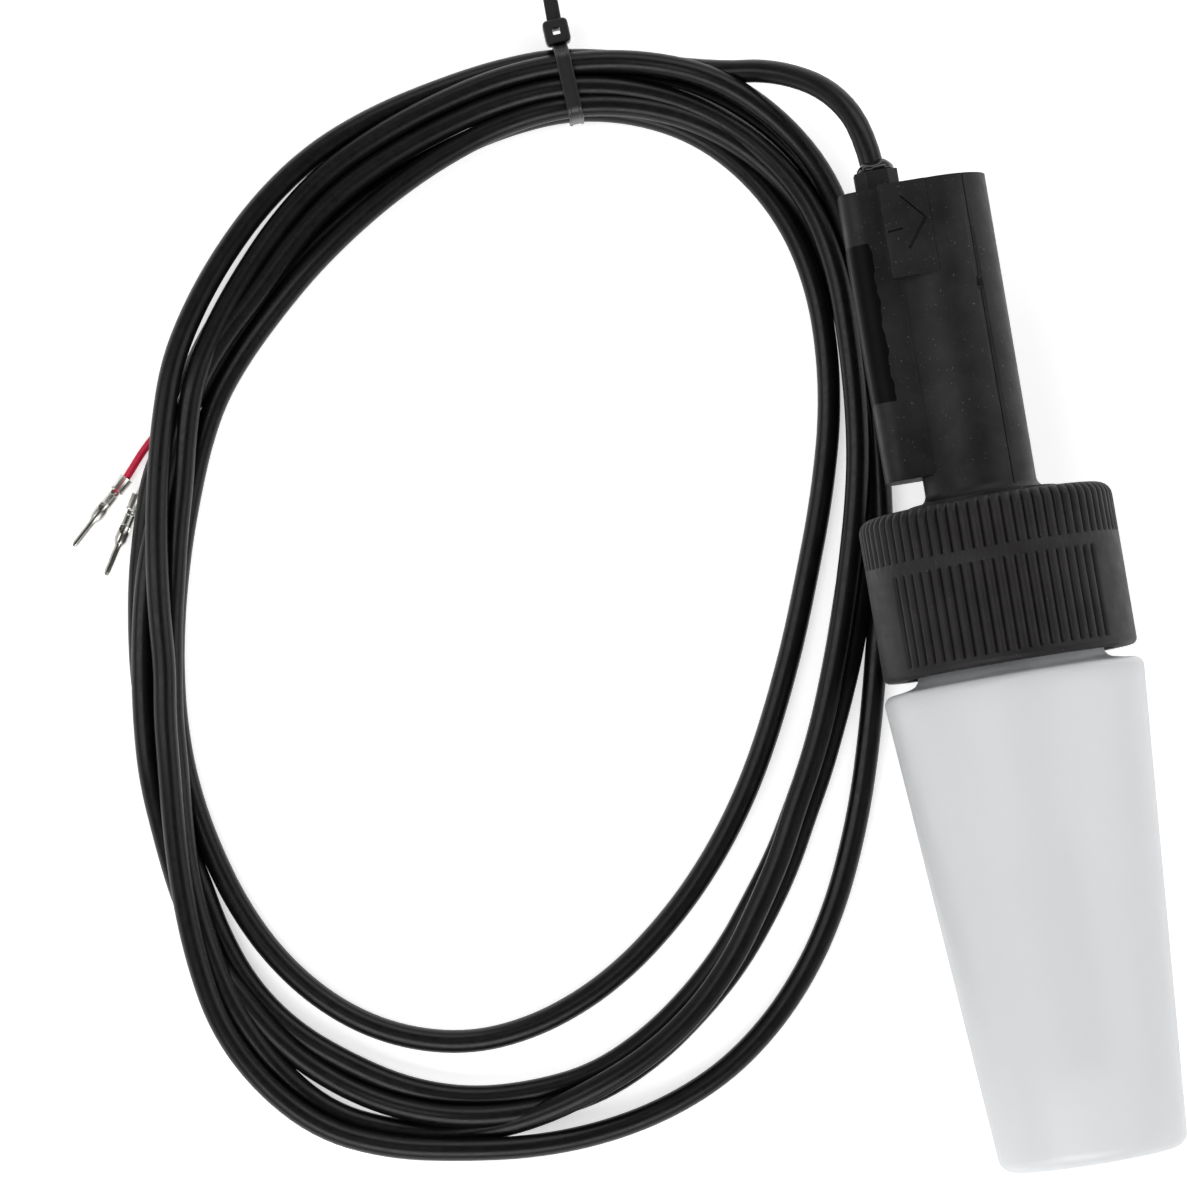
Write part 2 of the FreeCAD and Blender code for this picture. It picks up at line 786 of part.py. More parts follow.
def paddle(doc, d, at):
    """Scoop, arm, hub and magnet lever, moulded in one."""
    pivot = at["pivot"]
    low = -(d["scoop_top"] + d["scoop_length"])
    high = -d["scoop_top"]
    lip = -(d["scoop_depth"] / 2)
    centre = lip + d["scoop_depth"] - d["scoop_radius"]
    wall = d["scoop_wall"]
    outer = scoop_form(doc, centre, lip, low, high, d["scoop_radius"], "Outer")
    inner = scoop_form(doc, centre, lip - OVERSHOOT, low - OVERSHOOT, high - wall, d["scoop_radius"] - wall, "Inner")
    scoop = combine(doc, "Cut", (outer, inner), "Scoop")

    half = d["arm_width"] / 2
    thick = d["arm_depth"] / 2
    arm = block(doc, (-half, high - wall / 2, -thick), (half, pivot, thick), "Arm")
    hub_low = -(d["slot_depth"] / 2 - d["hub_gap"])
    hub_high = hub_low + d["hub_length"]
    hub = rod(doc, (0, pivot, hub_low), d["hub_radius"], d["hub_length"], name="Hub")
    lever = block(doc, (-(d["lever_width"] / 2), pivot, hub_low),
                  (d["lever_width"] / 2, pivot + d["lever_height"], hub_high), "Lever")
    solid = combine(doc, "MultiFuse", [scoop, arm, hub, lever], "PaddleSolid")

    room = rod(doc, (0, pivot, hub_high), d["ear_radius"], d["slot_depth"], name="SpringRoom")
    bore = rod(doc, (0, pivot, hub_low - OVERSHOOT), d["pin_radius"] + d["pin_fit"], d["slot_depth"] + OVERSHOOT * 2,
               name="HubBore")
    seat = block(doc, *magnet_corners(d, at), "MagnetSeat")
    tools = combine(doc, "MultiFuse", [room, bore, seat], "PaddleTools")
    return combine(doc, "Cut", (solid, tools), "paddle")


def scoop_form(doc, centre, lip, low, high, radius, name):
    """Half-round form open towards the flow, as a solid."""
    back = rod(doc, (centre, low, 0), radius, high - low, HALF_ALONG_Y, name + "Back")
    bind(back, Angle=FULL_TURN / 2)
    front = block(doc, (lip, low, -radius), (centre, high, radius), name + "Front")
    return combine(doc, "MultiFuse", [back, front], name + "Form")


def magnet_corners(d, at):
    """Corners of the magnet at the top of the lever, set in flush with its outer face."""
    top = at["pivot"] + d["lever_height"] - d["magnet_top_wall"]
    half = d["magnet_width"] / 2
    hub_low = -(d["slot_depth"] / 2 - d["hub_gap"])
    front = hub_low + d["hub_length"]
    low = (-half, top - d["magnet_length"], front - d["magnet_depth"])
    return low, (half, top, front)


def paddle_magnet(doc, d, at):
    body = new_body(doc, "paddle_magnet")
    block(doc, *magnet_corners(d, at), "Magnet", body)
    return body


def return_spring(doc, d, at):
    """Torsion spring round the pin, with both its legs up in the lever's slot."""
    wire = d["spring_wire"].number
    radius = d["spring_radius"].number
    pitch = d["spring_pitch"].number
    height = pitch * d["spring_turns"].number
    helix = Part.makeHelix(pitch, height, radius)
    first = helix.Edges[0]
    last = helix.Edges[-1]
    start = first.valueAt(first.FirstParameter)
    end = last.valueAt(last.LastParameter)
    section = Part.Wire([Part.Circle(start, Vector(0, 1, 0), wire / 2).toShape()])
    coil = Part.Wire(helix.Edges).makePipeShell([section], True, True)
    legs = [Part.makeCylinder(wire / 2, d["spring_leg"].number, foot, Vector(0, -1, 0)) for foot in (start, end)]
    spring = doc.addObject("Part::Feature", "return_spring")
    spring.Shape = coil.fuse(legs)
    bottom = d["slot_depth"] / 2 - wire - height
    return spring, (0, at["pivot"], bottom), Rotation(Vector(0, 0, 1), 180)


def tube(doc, name, route, radius):
    """Plain tube along straight runs joined by tangent arcs as large as the runs allow."""
    points = [Vector(*spot) for spot in route]
    edges = []
    radii = []
    reached = points[0]
    for before, corner, after in zip(points, points[1:], points[2:]):
        into = corner - before
        out = after - corner
        turn = into.getAngle(out)
        reach = BEND_SHARE * min(into.Length, out.Length)
        bend = reach / math.tan(turn / 2)
        radii.append(round(bend, 1))
        start = corner - into.normalize() * reach
        end = corner + out.normalize() * reach
        inward = (out - into).normalize()
        middle = corner + inward * (bend / math.cos(turn / 2) - bend)
        edges.append(Part.LineSegment(reached, start).toShape())
        edges.append(Part.Arc(start, middle, end).toShape())
        reached = end
    edges.append(Part.LineSegment(reached, points[-1]).toShape())
    path = Part.Wire(edges)
    section = Part.Wire([Part.Circle(points[0], points[1] - points[0], radius).toShape()])
    solid = path.makePipeShell([section], True, False)
    share = solid.Volume / (math.pi * radius ** 2 * path.Length)
    print(f"{name}: length {path.Length:.1f}, volume over section times length {share:.4f}, radii {radii}")
    feature = doc.addObject("Part::Feature", name)
    feature.Shape = solid
    return feature


def plate(doc, name, outline_points, low, high):
    """A level plate whose edge runs smoothly through the given points."""
    curve = Part.BSplineCurve()
    curve.interpolate(Points=[Vector(x, y, low) for x, y in outline_points], PeriodicFlag=True)
    face = Part.Face(Part.Wire([curve.toShape()]))
    feature = doc.addObject("Part::Feature", name)
    feature.Shape = face.extrude(Vector(0, 0, high - low))
    return feature


def lead_coil(doc, d):
    """Outer shape of the wound cable: a loose ring, lower where the switch lies on it."""
    top = d["coil_height"]
    outer = plate(doc, "CoilOutside", COIL_OUTSIDE, 0, top.number)
    inner = plate(doc, "CoilInside", COIL_INSIDE, -OVERSHOOT, top.number + OVERSHOOT)
    run = (d["coil_slope_end"] - d["coil_slope_start"]).number
    fall = math.degrees(math.atan2((top - d["coil_low_height"]).number, run))
    slope = block(doc, (0, 0, 0), (run * 2, d["cup_depth"] * 4, top * 2), "CoilSlope")
    put(slope, (d["coil_slope_start"], -(d["cup_depth"] * 2), top), Rotation(Vector(0, 1, 0), fall))
    side = d["tie_width"] / 2 + d["tie_gap"]
    pinch = strap_loop(doc, d, side, d["tie_gap"])
    put(pinch, (d["tie_x"], d["tie_y"], 0), Rotation(Vector(0, 0, 1), d["tie_turn"].number))
    tools = combine(doc, "MultiFuse", [inner, slope, pinch], "CoilTools")
    return combine(doc, "Cut", (outer, tools), "lead_coil")


def strap_loop(doc, d, side, gap):
    """Square loop that the strap takes up, with some room, x across the strap and z up."""
    half = d["tie_span"] / 2
    inner = half - d["tie_thickness"] - gap
    height = d["tie_height"]
    floor = d["tie_thickness"] + gap
    outside = block(doc, (-side, -half * 2, -OVERSHOOT), (side, half * 2, height + OVERSHOOT), "PinchOutside")
    inside = block(doc, (-side * 2, -inner, floor), (side * 2, inner, height - floor), "PinchInside")
    return combine(doc, "Cut", (outside, inside), "Pinch")


def cable_tie(doc, d):
    """Strap closed round the turns, its locking head and the tail left on."""
    body = new_body(doc, "cable_tie")
    half = d["tie_span"] / 2
    side = d["tie_width"] / 2
    thick = d["tie_thickness"]
    height = d["tie_height"]
    block(doc, (-side, -half, 0), (side, half, height), "StrapOutside", body)
    doc.recompute()
    soften(body, body.Tip, edges_across(body.Tip), d["tie_round"], "StrapRound")
    block(doc, (-side * 2, thick - half, thick), (side * 2, half - thick, height - thick), "StrapInside", body, cut=True)
    head_low = height / 2 - d["tie_head_height"] / 2
    head_end = half + d["tie_head_length"]
    wide = d["tie_head_width"] / 2
    block(doc, (-wide, half, head_low), (wide, head_end, head_low + d["tie_head_height"]), "Head", body)
    block(doc, (-side, head_end - thick, height / 2), (side, head_end + d["tie_tail"], height / 2 + thick), "Tail", body)
    doc.recompute()
    return body


def edges_across(feature):
    """Names of the straight edges that run along X."""
    names = []
    for index, edge in enumerate(feature.Shape.Edges, start=1):
        ends = [vertex.Point for vertex in edge.Vertexes]
        if abs(ends[0].y - ends[1].y) < NEAR and abs(ends[0].z - ends[1].z) < NEAR:
            names.append(f"Edge{index}")
    return names


def terminal(doc, d, name):
    """Crimped contact: barrel on the core, waist, shell and round pin."""
    body = new_body(doc, name)
    core = d["core_diameter"] / 2 + d["seal_fit"]
    step = d["contact_round"]
    barrel = d["crimp_length"]
    waist = barrel + d["waist_length"]
    shell = waist + d["shell_length"]
    tip = shell + d["contact_length"]
    turned(body, [
        (core, 0),
        (d["crimp_radius"], 0),
        (d["crimp_radius"], barrel - step),
        (d["waist_radius"], barrel),
        (d["waist_radius"], waist),
        (d["shell_radius"], waist + step),
        (d["shell_radius"], shell - step),
        (d["contact_radius"], shell),
        (d["contact_radius"], tip - step),
        (d["contact_radius"] - step, tip),
        (0, tip),
        (0, barrel - step * 2),
        (core, barrel - step * 2),
    ], "Contact")
    return body


def build():
    """Makes every piece and returns each with its node's name."""
    doc = FreeCAD.newDocument("FlowSwitch")
    d = make_sheet(doc)
    at = levels(d)
    box = reed_places(d)
    middle = (d["cup_depth"] - at["bead_top"]) / 2
    height = d["cup_shoulder_radius"]
    in_housing = (0, middle, height)
    on_table = (0, middle, 0)

    pieces = {}

    def keep(name, piece, spot, turn=None):
        piece.Label = name
        put(piece, spot, turn)
        pieces[name] = piece

    keep("switch_body", switch_body(doc, d, at), in_housing)
    keep("cable_gland", cable_gland(doc, d), in_housing)
    keep("sealant", sealant(doc, d), (-d["gland_offset"], at["gland_top"] + middle, height))
    keep("potting", potting(doc, d), in_housing)
    keep("union_nut", union_nut(doc, d, at), in_housing)
    keep("o_ring", o_ring(doc, d), in_housing)
    keep("transit_cup", transit_cup(doc, d, at), in_housing)
    keep("pivot_pin", pivot_pin(doc, d, at), in_housing)
    keep("paddle", paddle(doc, d, at), in_housing)
    keep("paddle_magnet", paddle_magnet(doc, d, at), in_housing)
    spring, spot, turn = return_spring(doc, d, at)
    keep("return_spring", spring, (spot[0], spot[1] + middle, height + spot[2]), turn)
    keep("circuit_board", circuit_board(doc, d), in_housing)
    keep("reed_glass", reed_glass(doc, d), (box["reed_x"], reed_height(d) + middle, height))
    keep("upper_reed", reed_blade(doc, d, "upper_reed", 1), in_housing)
    keep("lower_reed", reed_blade(doc, d, "lower_reed", -1), in_housing)
    keep("solder_joints", solder_joints(doc, d), in_housing)
    keep("inner_red_core", inner_core(doc, d, "inner_red_core", 1), in_housing)
    keep("inner_white_core", inner_core(doc, d, "inner_white_core", -1), in_housing)

    keep("lead_run", tube(doc, "lead_run", LEAD_ROUTE, d["cable_diameter"].number / 2), on_table)
    keep("lead_coil", lead_coil(doc, d), on_table)
    tie_turn = Rotation(Vector(0, 0, 1), d["tie_turn"].number)
    keep("cable_tie", cable_tie(doc, d), (d["tie_x"], d["tie_y"] + middle, 0), tie_turn)
    for colour, route, towards in (("red", RED_ROUTE, RED_PIN_TOWARDS), ("white", WHITE_ROUTE, WHITE_PIN_TOWARDS)):
        keep(colour + "_core", tube(doc, colour + "_core", route, d["core_diameter"].number / 2), on_table)
        x, y, z = route[-1]
        heading = Rotation(Vector(0, 1, 0), Vector(towards[0] - x, towards[1] - y, 0))
        keep(colour + "_terminal", terminal(doc, d, colour + "_terminal"), (x, middle + y, z), heading)
    doc.recompute()
    return doc, pieces


def check(doc, pieces):
    """Stops the build if anything failed to compute."""
    for thing in doc.Objects:
        bad = [state for state in thing.State if state in ("Invalid", "Error")]
        if bad:
            raise RuntimeError(f"{thing.Name} is {bad}")
    for name, piece in pieces.items():
        if piece.Shape.isNull() or not piece.Shape.isValid() or not piece.Shape.Solids:
            raise RuntimeError(f"{name} has no valid solid")


def write(pieces):
    os.makedirs("parts", exist_ok=True)
    for name, piece in pieces.items():
        piece.Shape.exportStep(f"parts/{name}.step")
        box = piece.Shape.BoundBox
        print(f"{name}: {len(piece.Shape.Solids)} solid, volume {piece.Shape.Volume:.1f}, "
              f"x {box.XMin:.1f} to {box.XMax:.1f}, y {box.YMin:.1f} to {box.YMax:.1f}, "
              f"z {box.ZMin:.1f} to {box.ZMax:.1f}")


document, made = build()
check(document, made)
write(made)
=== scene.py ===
"""Looks of a paddle flow switch with a union nut, a milky transit cup and a coiled black lead.

Metres. Heights along the switch's axis are counted from the shoulder of the cup, in
millimetres, as are the points of the cable. +Y runs towards the cable end and +Z is up.
"""

import json
import math

import bpy
import bmesh
from mathutils import Matrix, Vector


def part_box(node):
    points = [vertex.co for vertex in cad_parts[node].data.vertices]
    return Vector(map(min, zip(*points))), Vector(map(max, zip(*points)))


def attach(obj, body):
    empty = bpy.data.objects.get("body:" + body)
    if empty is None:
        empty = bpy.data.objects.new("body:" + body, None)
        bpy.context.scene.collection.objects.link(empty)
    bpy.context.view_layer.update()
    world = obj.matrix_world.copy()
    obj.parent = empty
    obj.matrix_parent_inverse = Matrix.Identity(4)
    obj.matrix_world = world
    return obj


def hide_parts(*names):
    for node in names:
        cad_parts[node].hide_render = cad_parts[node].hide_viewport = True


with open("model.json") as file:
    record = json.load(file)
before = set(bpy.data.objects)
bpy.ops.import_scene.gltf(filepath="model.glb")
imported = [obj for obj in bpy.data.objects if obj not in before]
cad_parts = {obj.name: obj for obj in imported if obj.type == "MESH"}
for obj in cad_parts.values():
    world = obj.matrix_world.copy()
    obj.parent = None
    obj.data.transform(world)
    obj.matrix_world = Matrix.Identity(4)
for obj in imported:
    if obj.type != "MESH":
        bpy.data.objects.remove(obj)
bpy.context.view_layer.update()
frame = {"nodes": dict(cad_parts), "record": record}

MM = 0.001
NUT_LIFT = 2.9
NUT_LOW, NUT_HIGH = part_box("union_nut")
AXIS_Z = (NUT_LOW[2] + NUT_HIGH[2]) / 2
SHOULDER_Y = NUT_LOW[1] - NUT_LIFT * MM
TAU = math.tau


def spot(x, s, z):
    """A point in metres from x, the height along the axis, and the height above the table."""
    return Vector((x * MM, SHOULDER_Y + s * MM, z * MM))


def on_axis(x, s, z):
    """As spot, with z counted from the switch's axis."""
    return Vector((x * MM, SHOULDER_Y + s * MM, AXIS_Z + z * MM))


# Camera of the photograph
CAMERA_AT = Vector((-0.0714, -0.0245, 0.831))
CAMERA_AIM = Vector((-0.0642, 0.0193, 0.021))
CAMERA_UP = Vector((0.163, 0.9866, 0.0))
CAMERA_LENS = 152.0
SENSOR = 36.0
# Middle of the object on the table, which the lamps point at
MIDDLE = Vector((-0.055, 0.015, 0.0))


def make_camera():
    """The photograph's view, from almost straight above."""
    data = bpy.data.cameras.new("photo_camera")
    data.lens = CAMERA_LENS
    data.sensor_width = SENSOR
    data.clip_start = 0.01
    data.clip_end = 20
    camera = bpy.data.objects.new("photo_camera", data)
    bpy.context.scene.collection.objects.link(camera)
    back = (CAMERA_AT - CAMERA_AIM).normalized()
    right = CAMERA_UP.cross(back).normalized()
    up = back.cross(right)
    turn = Matrix((right, up, back)).transposed()
    camera.matrix_world = Matrix.Translation(CAMERA_AT) @ turn.to_4x4()
    bpy.context.scene.camera = camera


def make_light(name, offset, size, power):
    """A soft rectangular lamp that points at the object's middle."""
    data = bpy.data.lights.new(name, "AREA")
    data.shape = "RECTANGLE"
    data.size, data.size_y = size
    data.energy = power
    lamp = bpy.data.objects.new(name, data)
    bpy.context.scene.collection.objects.link(lamp)
    lamp.location = MIDDLE + Vector(offset)
    lamp.rotation_mode = "QUATERNION"
    lamp.rotation_quaternion = Vector(offset).to_track_quat("Z", "Y")


def node_material(name):
    """A new node material, its tree and its shader."""
    material = bpy.data.materials.new(name)
    material.use_nodes = True
    tree = material.node_tree
    return material, tree, tree.nodes["Principled BSDF"]


def noise(tree, scale, detail=3.0, roughness=0.55, stretch=None):
    """Noise in the object's own coordinates."""
    where = tree.nodes.new("ShaderNodeTexCoord")
    texture = tree.nodes.new("ShaderNodeTexNoise")
    texture.inputs["Scale"].default_value = scale
    texture.inputs["Detail"].default_value = detail
    texture.inputs["Roughness"].default_value = roughness
    source = where.outputs["Object"]
    if stretch is not None:
        mapping = tree.nodes.new("ShaderNodeMapping")
        mapping.inputs["Scale"].default_value = stretch
        tree.links.new(source, mapping.inputs["Vector"])
        source = mapping.outputs["Vector"]
    tree.links.new(source, texture.inputs["Vector"])
    return texture.outputs["Fac"]


def ramp(tree, source, stops):
    """Colours between stops, each a place and a colour or a grey."""
    blend = tree.nodes.new("ShaderNodeValToRGB")
    tree.links.new(source, blend.inputs["Fac"])
    elements = blend.color_ramp.elements
    while len(elements) < len(stops):
        elements.new(0.5)
    for element, (place, colour) in zip(elements, stops):
        element.position = place
        if not hasattr(colour, "__len__"):
            colour = (colour, colour, colour)
        element.color = (*colour, 1)
    return blend.outputs["Color"]


def mixed(tree, share, first, second):
    """Two colours mixed by a share, each a socket or a plain colour."""
    mix = tree.nodes.new("ShaderNodeMix")
    mix.data_type = "RGBA"
    for key, value in (("Factor", share), ("A", first), ("B", second)):
        socket = mix.inputs[key]
        if hasattr(value, "links"):
            tree.links.new(value, socket)
        elif hasattr(value, "__len__"):
            socket.default_value = (*value, 1)
        else:
            socket.default_value = value
    return mix.outputs["Result"]


def bumped(tree, shader, height, strength, distance, rounding=None):
    """Adds a bump, and where a rounding is given, softens hard edges by it."""
    bump = tree.nodes.new("ShaderNodeBump")
    bump.inputs["Strength"].default_value = strength
    bump.inputs["Distance"].default_value = distance
    tree.links.new(height, bump.inputs["Height"])
    if rounding is not None:
        bevel = tree.nodes.new("ShaderNodeBevel")
        bevel.inputs["Radius"].default_value = rounding
        tree.links.new(bevel.outputs["Normal"], bump.inputs["Normal"])
    tree.links.new(bump.outputs["Normal"], shader.inputs["Normal"])


SPECK_TONE = (0.075, 0.07, 0.07)


def moulded(name, dark, light, roughness, grain=0.25, speck=0.735, rounding=None):
    """Moulded black plastic: uneven sheen, fine spark-eroded grain and a few pale specks."""
    material, tree, shader = node_material(name)
    base = ramp(tree, noise(tree, 160, 4), [(0.35, dark), (0.7, light)])
    specks = ramp(tree, noise(tree, 2600, 1, 0.4), [(speck, 0.0), (speck + 0.03, 1.0)])
    tree.links.new(mixed(tree, specks, base, SPECK_TONE), shader.inputs["Base Color"])
    sheen = ramp(tree, noise(tree, 420, 3), [(0.3, roughness - 0.06), (0.75, roughness + 0.08)])
    tree.links.new(sheen, shader.inputs["Roughness"])
    shader.inputs["Specular IOR Level"].default_value = 0.2
    bumped(tree, shader, noise(tree, 3800, 2, 0.6), grain, 0.00006, rounding)
    return material


def cable_jacket():
    """Soft black PVC with faint scuffs along its length."""
    material, tree, shader = node_material("cable_jacket")
    tone = ramp(tree, noise(tree, 240, 3),
                [(0.35, (0.0022, 0.0022, 0.0025)), (0.75, (0.0045, 0.0045, 0.005))])
    tree.links.new(tone, shader.inputs["Base Color"])
    sheen = ramp(tree, noise(tree, 900, 4, 0.65), [(0.3, 0.27), (0.7, 0.4)])
    tree.links.new(sheen, shader.inputs["Roughness"])
    shader.inputs["Specular IOR Level"].default_value = 0.27
    bumped(tree, shader, noise(tree, 1500, 3), 0.12, 0.00008)
    return material


def milky():
    """Translucent polypropylene with a faint flow pattern."""
    material, tree, shader = node_material("cup_plastic")
    tone = ramp(tree, noise(tree, 45, 3, 0.5, (1, 0.25, 1)),
                [(0.3, (0.94, 0.955, 0.97)), (0.7, (0.965, 0.975, 0.985))])
    tree.links.new(tone, shader.inputs["Base Color"])
    shader.inputs["Roughness"].default_value = 0.36
    shader.inputs["IOR"].default_value = 1.49
    shader.inputs["Transmission Weight"].default_value = 0.42
    bumped(tree, shader, noise(tree, 520, 3), 0.1, 0.0002)
    return material


def plain(name, colour, roughness, metallic=0.0, grain_scale=900, grain=0.08, change=0.12,
          specular=0.5):
    """A finish with slight changes of tone and a fine bump."""
    material, tree, shader = node_material(name)
    low = tuple(c * (1 - change) for c in colour)
    high = tuple(min(1.0, c * (1 + change)) for c in colour)
    tone = ramp(tree, noise(tree, grain_scale / 3), [(0.35, low), (0.7, high)])
    tree.links.new(tone, shader.inputs["Base Color"])
    shader.inputs["Metallic"].default_value = metallic
    shader.inputs["Roughness"].default_value = roughness
    shader.inputs["Specular IOR Level"].default_value = specular
    bumped(tree, shader, noise(tree, grain_scale), grain, 0.00005)
    return material


def clear_glass():
    """Faintly green glass of the reed switch."""
    material, tree, shader = node_material("reed_glass")
    shader.inputs["Base Color"].default_value = (0.75, 0.9, 0.82, 1)
    shader.inputs["Roughness"].default_value = 0.04
    shader.inputs["Transmission Weight"].default_value = 1.0
    bumped(tree, shader, noise(tree, 700), 0.02, 0.00005)
    return material


def make_materials():
    """A finish for each material slot."""
    return {
        "housing_plastic": moulded("housing_plastic", (0.0095, 0.0087, 0.0093),
                                   (0.0185, 0.0172, 0.018), 0.46, rounding=0.00025),
        "nut_plastic": moulded("nut_plastic", (0.0125, 0.0112, 0.012), (0.0205, 0.0187, 0.02), 0.5,
                               speck=0.77),
        "cup_plastic": milky(),
        "paddle_plastic": plain("paddle_plastic", (0.12, 0.19, 0.3), 0.5),
        "seal_rubber": plain("seal_rubber", (0.02, 0.02, 0.02), 0.6),
        "sealant": plain("sealant", (0.006, 0.006, 0.006), 0.08, grain_scale=500, grain=0.2),
        # Near black with almost no sheen; this finish also colours the sheet of painted shade on the reed
        # box.
        "epoxy": plain("epoxy", (0.003, 0.003, 0.003), 0.42, specular=0.06),
        "steel": plain("steel", (0.62, 0.62, 0.6), 0.25, 1.0),
        "magnet": plain("magnet", (0.5, 0.5, 0.5), 0.18, 1.0),
        "glass": clear_glass(),
        "reed": plain("reed", (0.7, 0.68, 0.6), 0.3, 1.0),
        "board": plain("board", (0.05, 0.2, 0.08), 0.4),
        "solder": plain("solder", (0.72, 0.72, 0.72), 0.3, 1.0),
        "cable_jacket": cable_jacket(),
        "tie_plastic": plain("tie_plastic", (0.014, 0.014, 0.015), 0.33, grain_scale=1400,
                             grain=0.12),
        "red_insulation": plain("red_insulation", (0.62, 0.008, 0.05), 0.4),
        "white_insulation": plain("white_insulation", (0.78, 0.77, 0.74), 0.45),
        "tin": plain("tin", (0.66, 0.65, 0.61), 0.3, 1.0, grain_scale=2200, grain=0.35, change=0.2),
    }


MATERIALS = make_materials()
SLOT_OF = {part["node"]: part["material_slot"] for part in frame["record"]["subparts"]}


def dress_nodes():
    """Gives each construction piece its finish."""
    for name, node in frame["nodes"].items():
        node.data.materials.clear()
        node.data.materials.append(MATERIALS[SLOT_OF[name]])


def finish_piece(obj, body, slot, replaced=()):
    """Gives a piece its material, its body and the nodes that it stands for."""
    obj.data.materials.clear()
    obj.data.materials.append(MATERIALS[slot])
    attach(obj, body)
    if replaced:
        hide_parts(*replaced)
    return obj


MERGE_REACH = 1e-7


def add_mesh(name, vertices, faces, smooth_angle=None):
    """An object from vertices and faces, smooth below the given angle in degrees."""
    mesh = bpy.data.meshes.new(name)
    mesh.from_pydata([tuple(v) for v in vertices], [], faces)
    mesh.update()
    work = bmesh.new()
    work.from_mesh(mesh)
    bmesh.ops.remove_doubles(work, verts=work.verts, dist=MERGE_REACH)
    bmesh.ops.recalc_face_normals(work, faces=work.faces)
    work.to_mesh(mesh)
    work.free()
    if smooth_angle is not None:
        mesh.shade_smooth()
        mesh.set_sharp_from_angle(angle=math.radians(smooth_angle))
    obj = bpy.data.objects.new(name, mesh)
    bpy.context.scene.collection.objects.link(obj)
    return obj


def lathe(name, profile, columns, smooth_angle=35, shift=None, closed=True):
    """Turns a profile of (radius, height) about the switch's axis.

    Where it is given, shift moves each point of the profile by its row and angle.
    """
    vertices = []
    for column in range(columns):
        angle = TAU * column / columns
        for row, (radius, height) in enumerate(profile):
            r, s = (radius, height) if shift is None else shift(row, angle, radius, height)
            vertices.append(on_axis(r * math.sin(angle), s, r * math.cos(angle)))
    rows = len(profile)
    faces = []
    for column in range(columns):
        here = column * rows
        there = (column + 1) % columns * rows
        for row in range(rows if closed else rows - 1):
            after = (row + 1) % rows
            faces.append((here + row, here + after, there + after, there + row))
    return add_mesh(name, vertices, faces, smooth_angle)


def arc(centre, radius, start, end, steps):
    """Points of an arc in a profile, angles in degrees from the outward direction."""
    points = []
    for step in range(steps + 1):
        angle = math.radians(start + (end - start) * step / steps)
        points.append((centre[0] + radius * math.cos(angle), centre[1] + radius * math.sin(angle)))
    return points


def waves(place, terms):
    """A sum of waves, each a rate, a size and a start."""
    return sum(size * math.sin(rate * place + start) for rate, size, start in terms)


# Lead: the route of the first stretch, and the wound turns
CABLE = 3.8
LEAD_ROUTE = [
    (-8.3, 78.3, 21.0),
    (-8.3, 89.8, 21.0),
    (-12.4, 99.6, 16.0),
    (-21.0, 105.4, 9.8),
    (-30.5, 107.0, 5.4),
]
LEAD_EXIT = (-8.3, 84.5, 21.0)

# The turns run around this place, against the clock from the tie. At each of 24 even steps
# the reach tells how far out the innermost and the outermost middle line lie.
COIL_MIDDLE = (-76.5, 25.0)
COIL_START = 75.0
COIL_STEP = 15.0
STATIONS = 24
INNER_REACH = (82.5, 75.4, 68.7, 63.7, 60.9, 57.4, 56.2, 57.3, 60.2, 64.0, 68.8, 71.8,
               70.6, 64.4, 56.9, 50.9, 46.9, 44.9, 45.3, 48.3, 55.1, 65.8, 77.7, 84.0)
OUTER_REACH = (92.0, 86.8, 82.4, 75.9, 69.6, 64.0, 62.4, 62.6, 66.0, 71.5, 83.1, 90.1,
               88.0, 86.1, 82.3, 74.9, 66.8, 61.2, 59.0, 60.5, 64.8, 73.5, 87.3, 93.4)
LOW = 1.9
MID = 5.3
TOP = 8.7
TIE_LIFT = 1.1

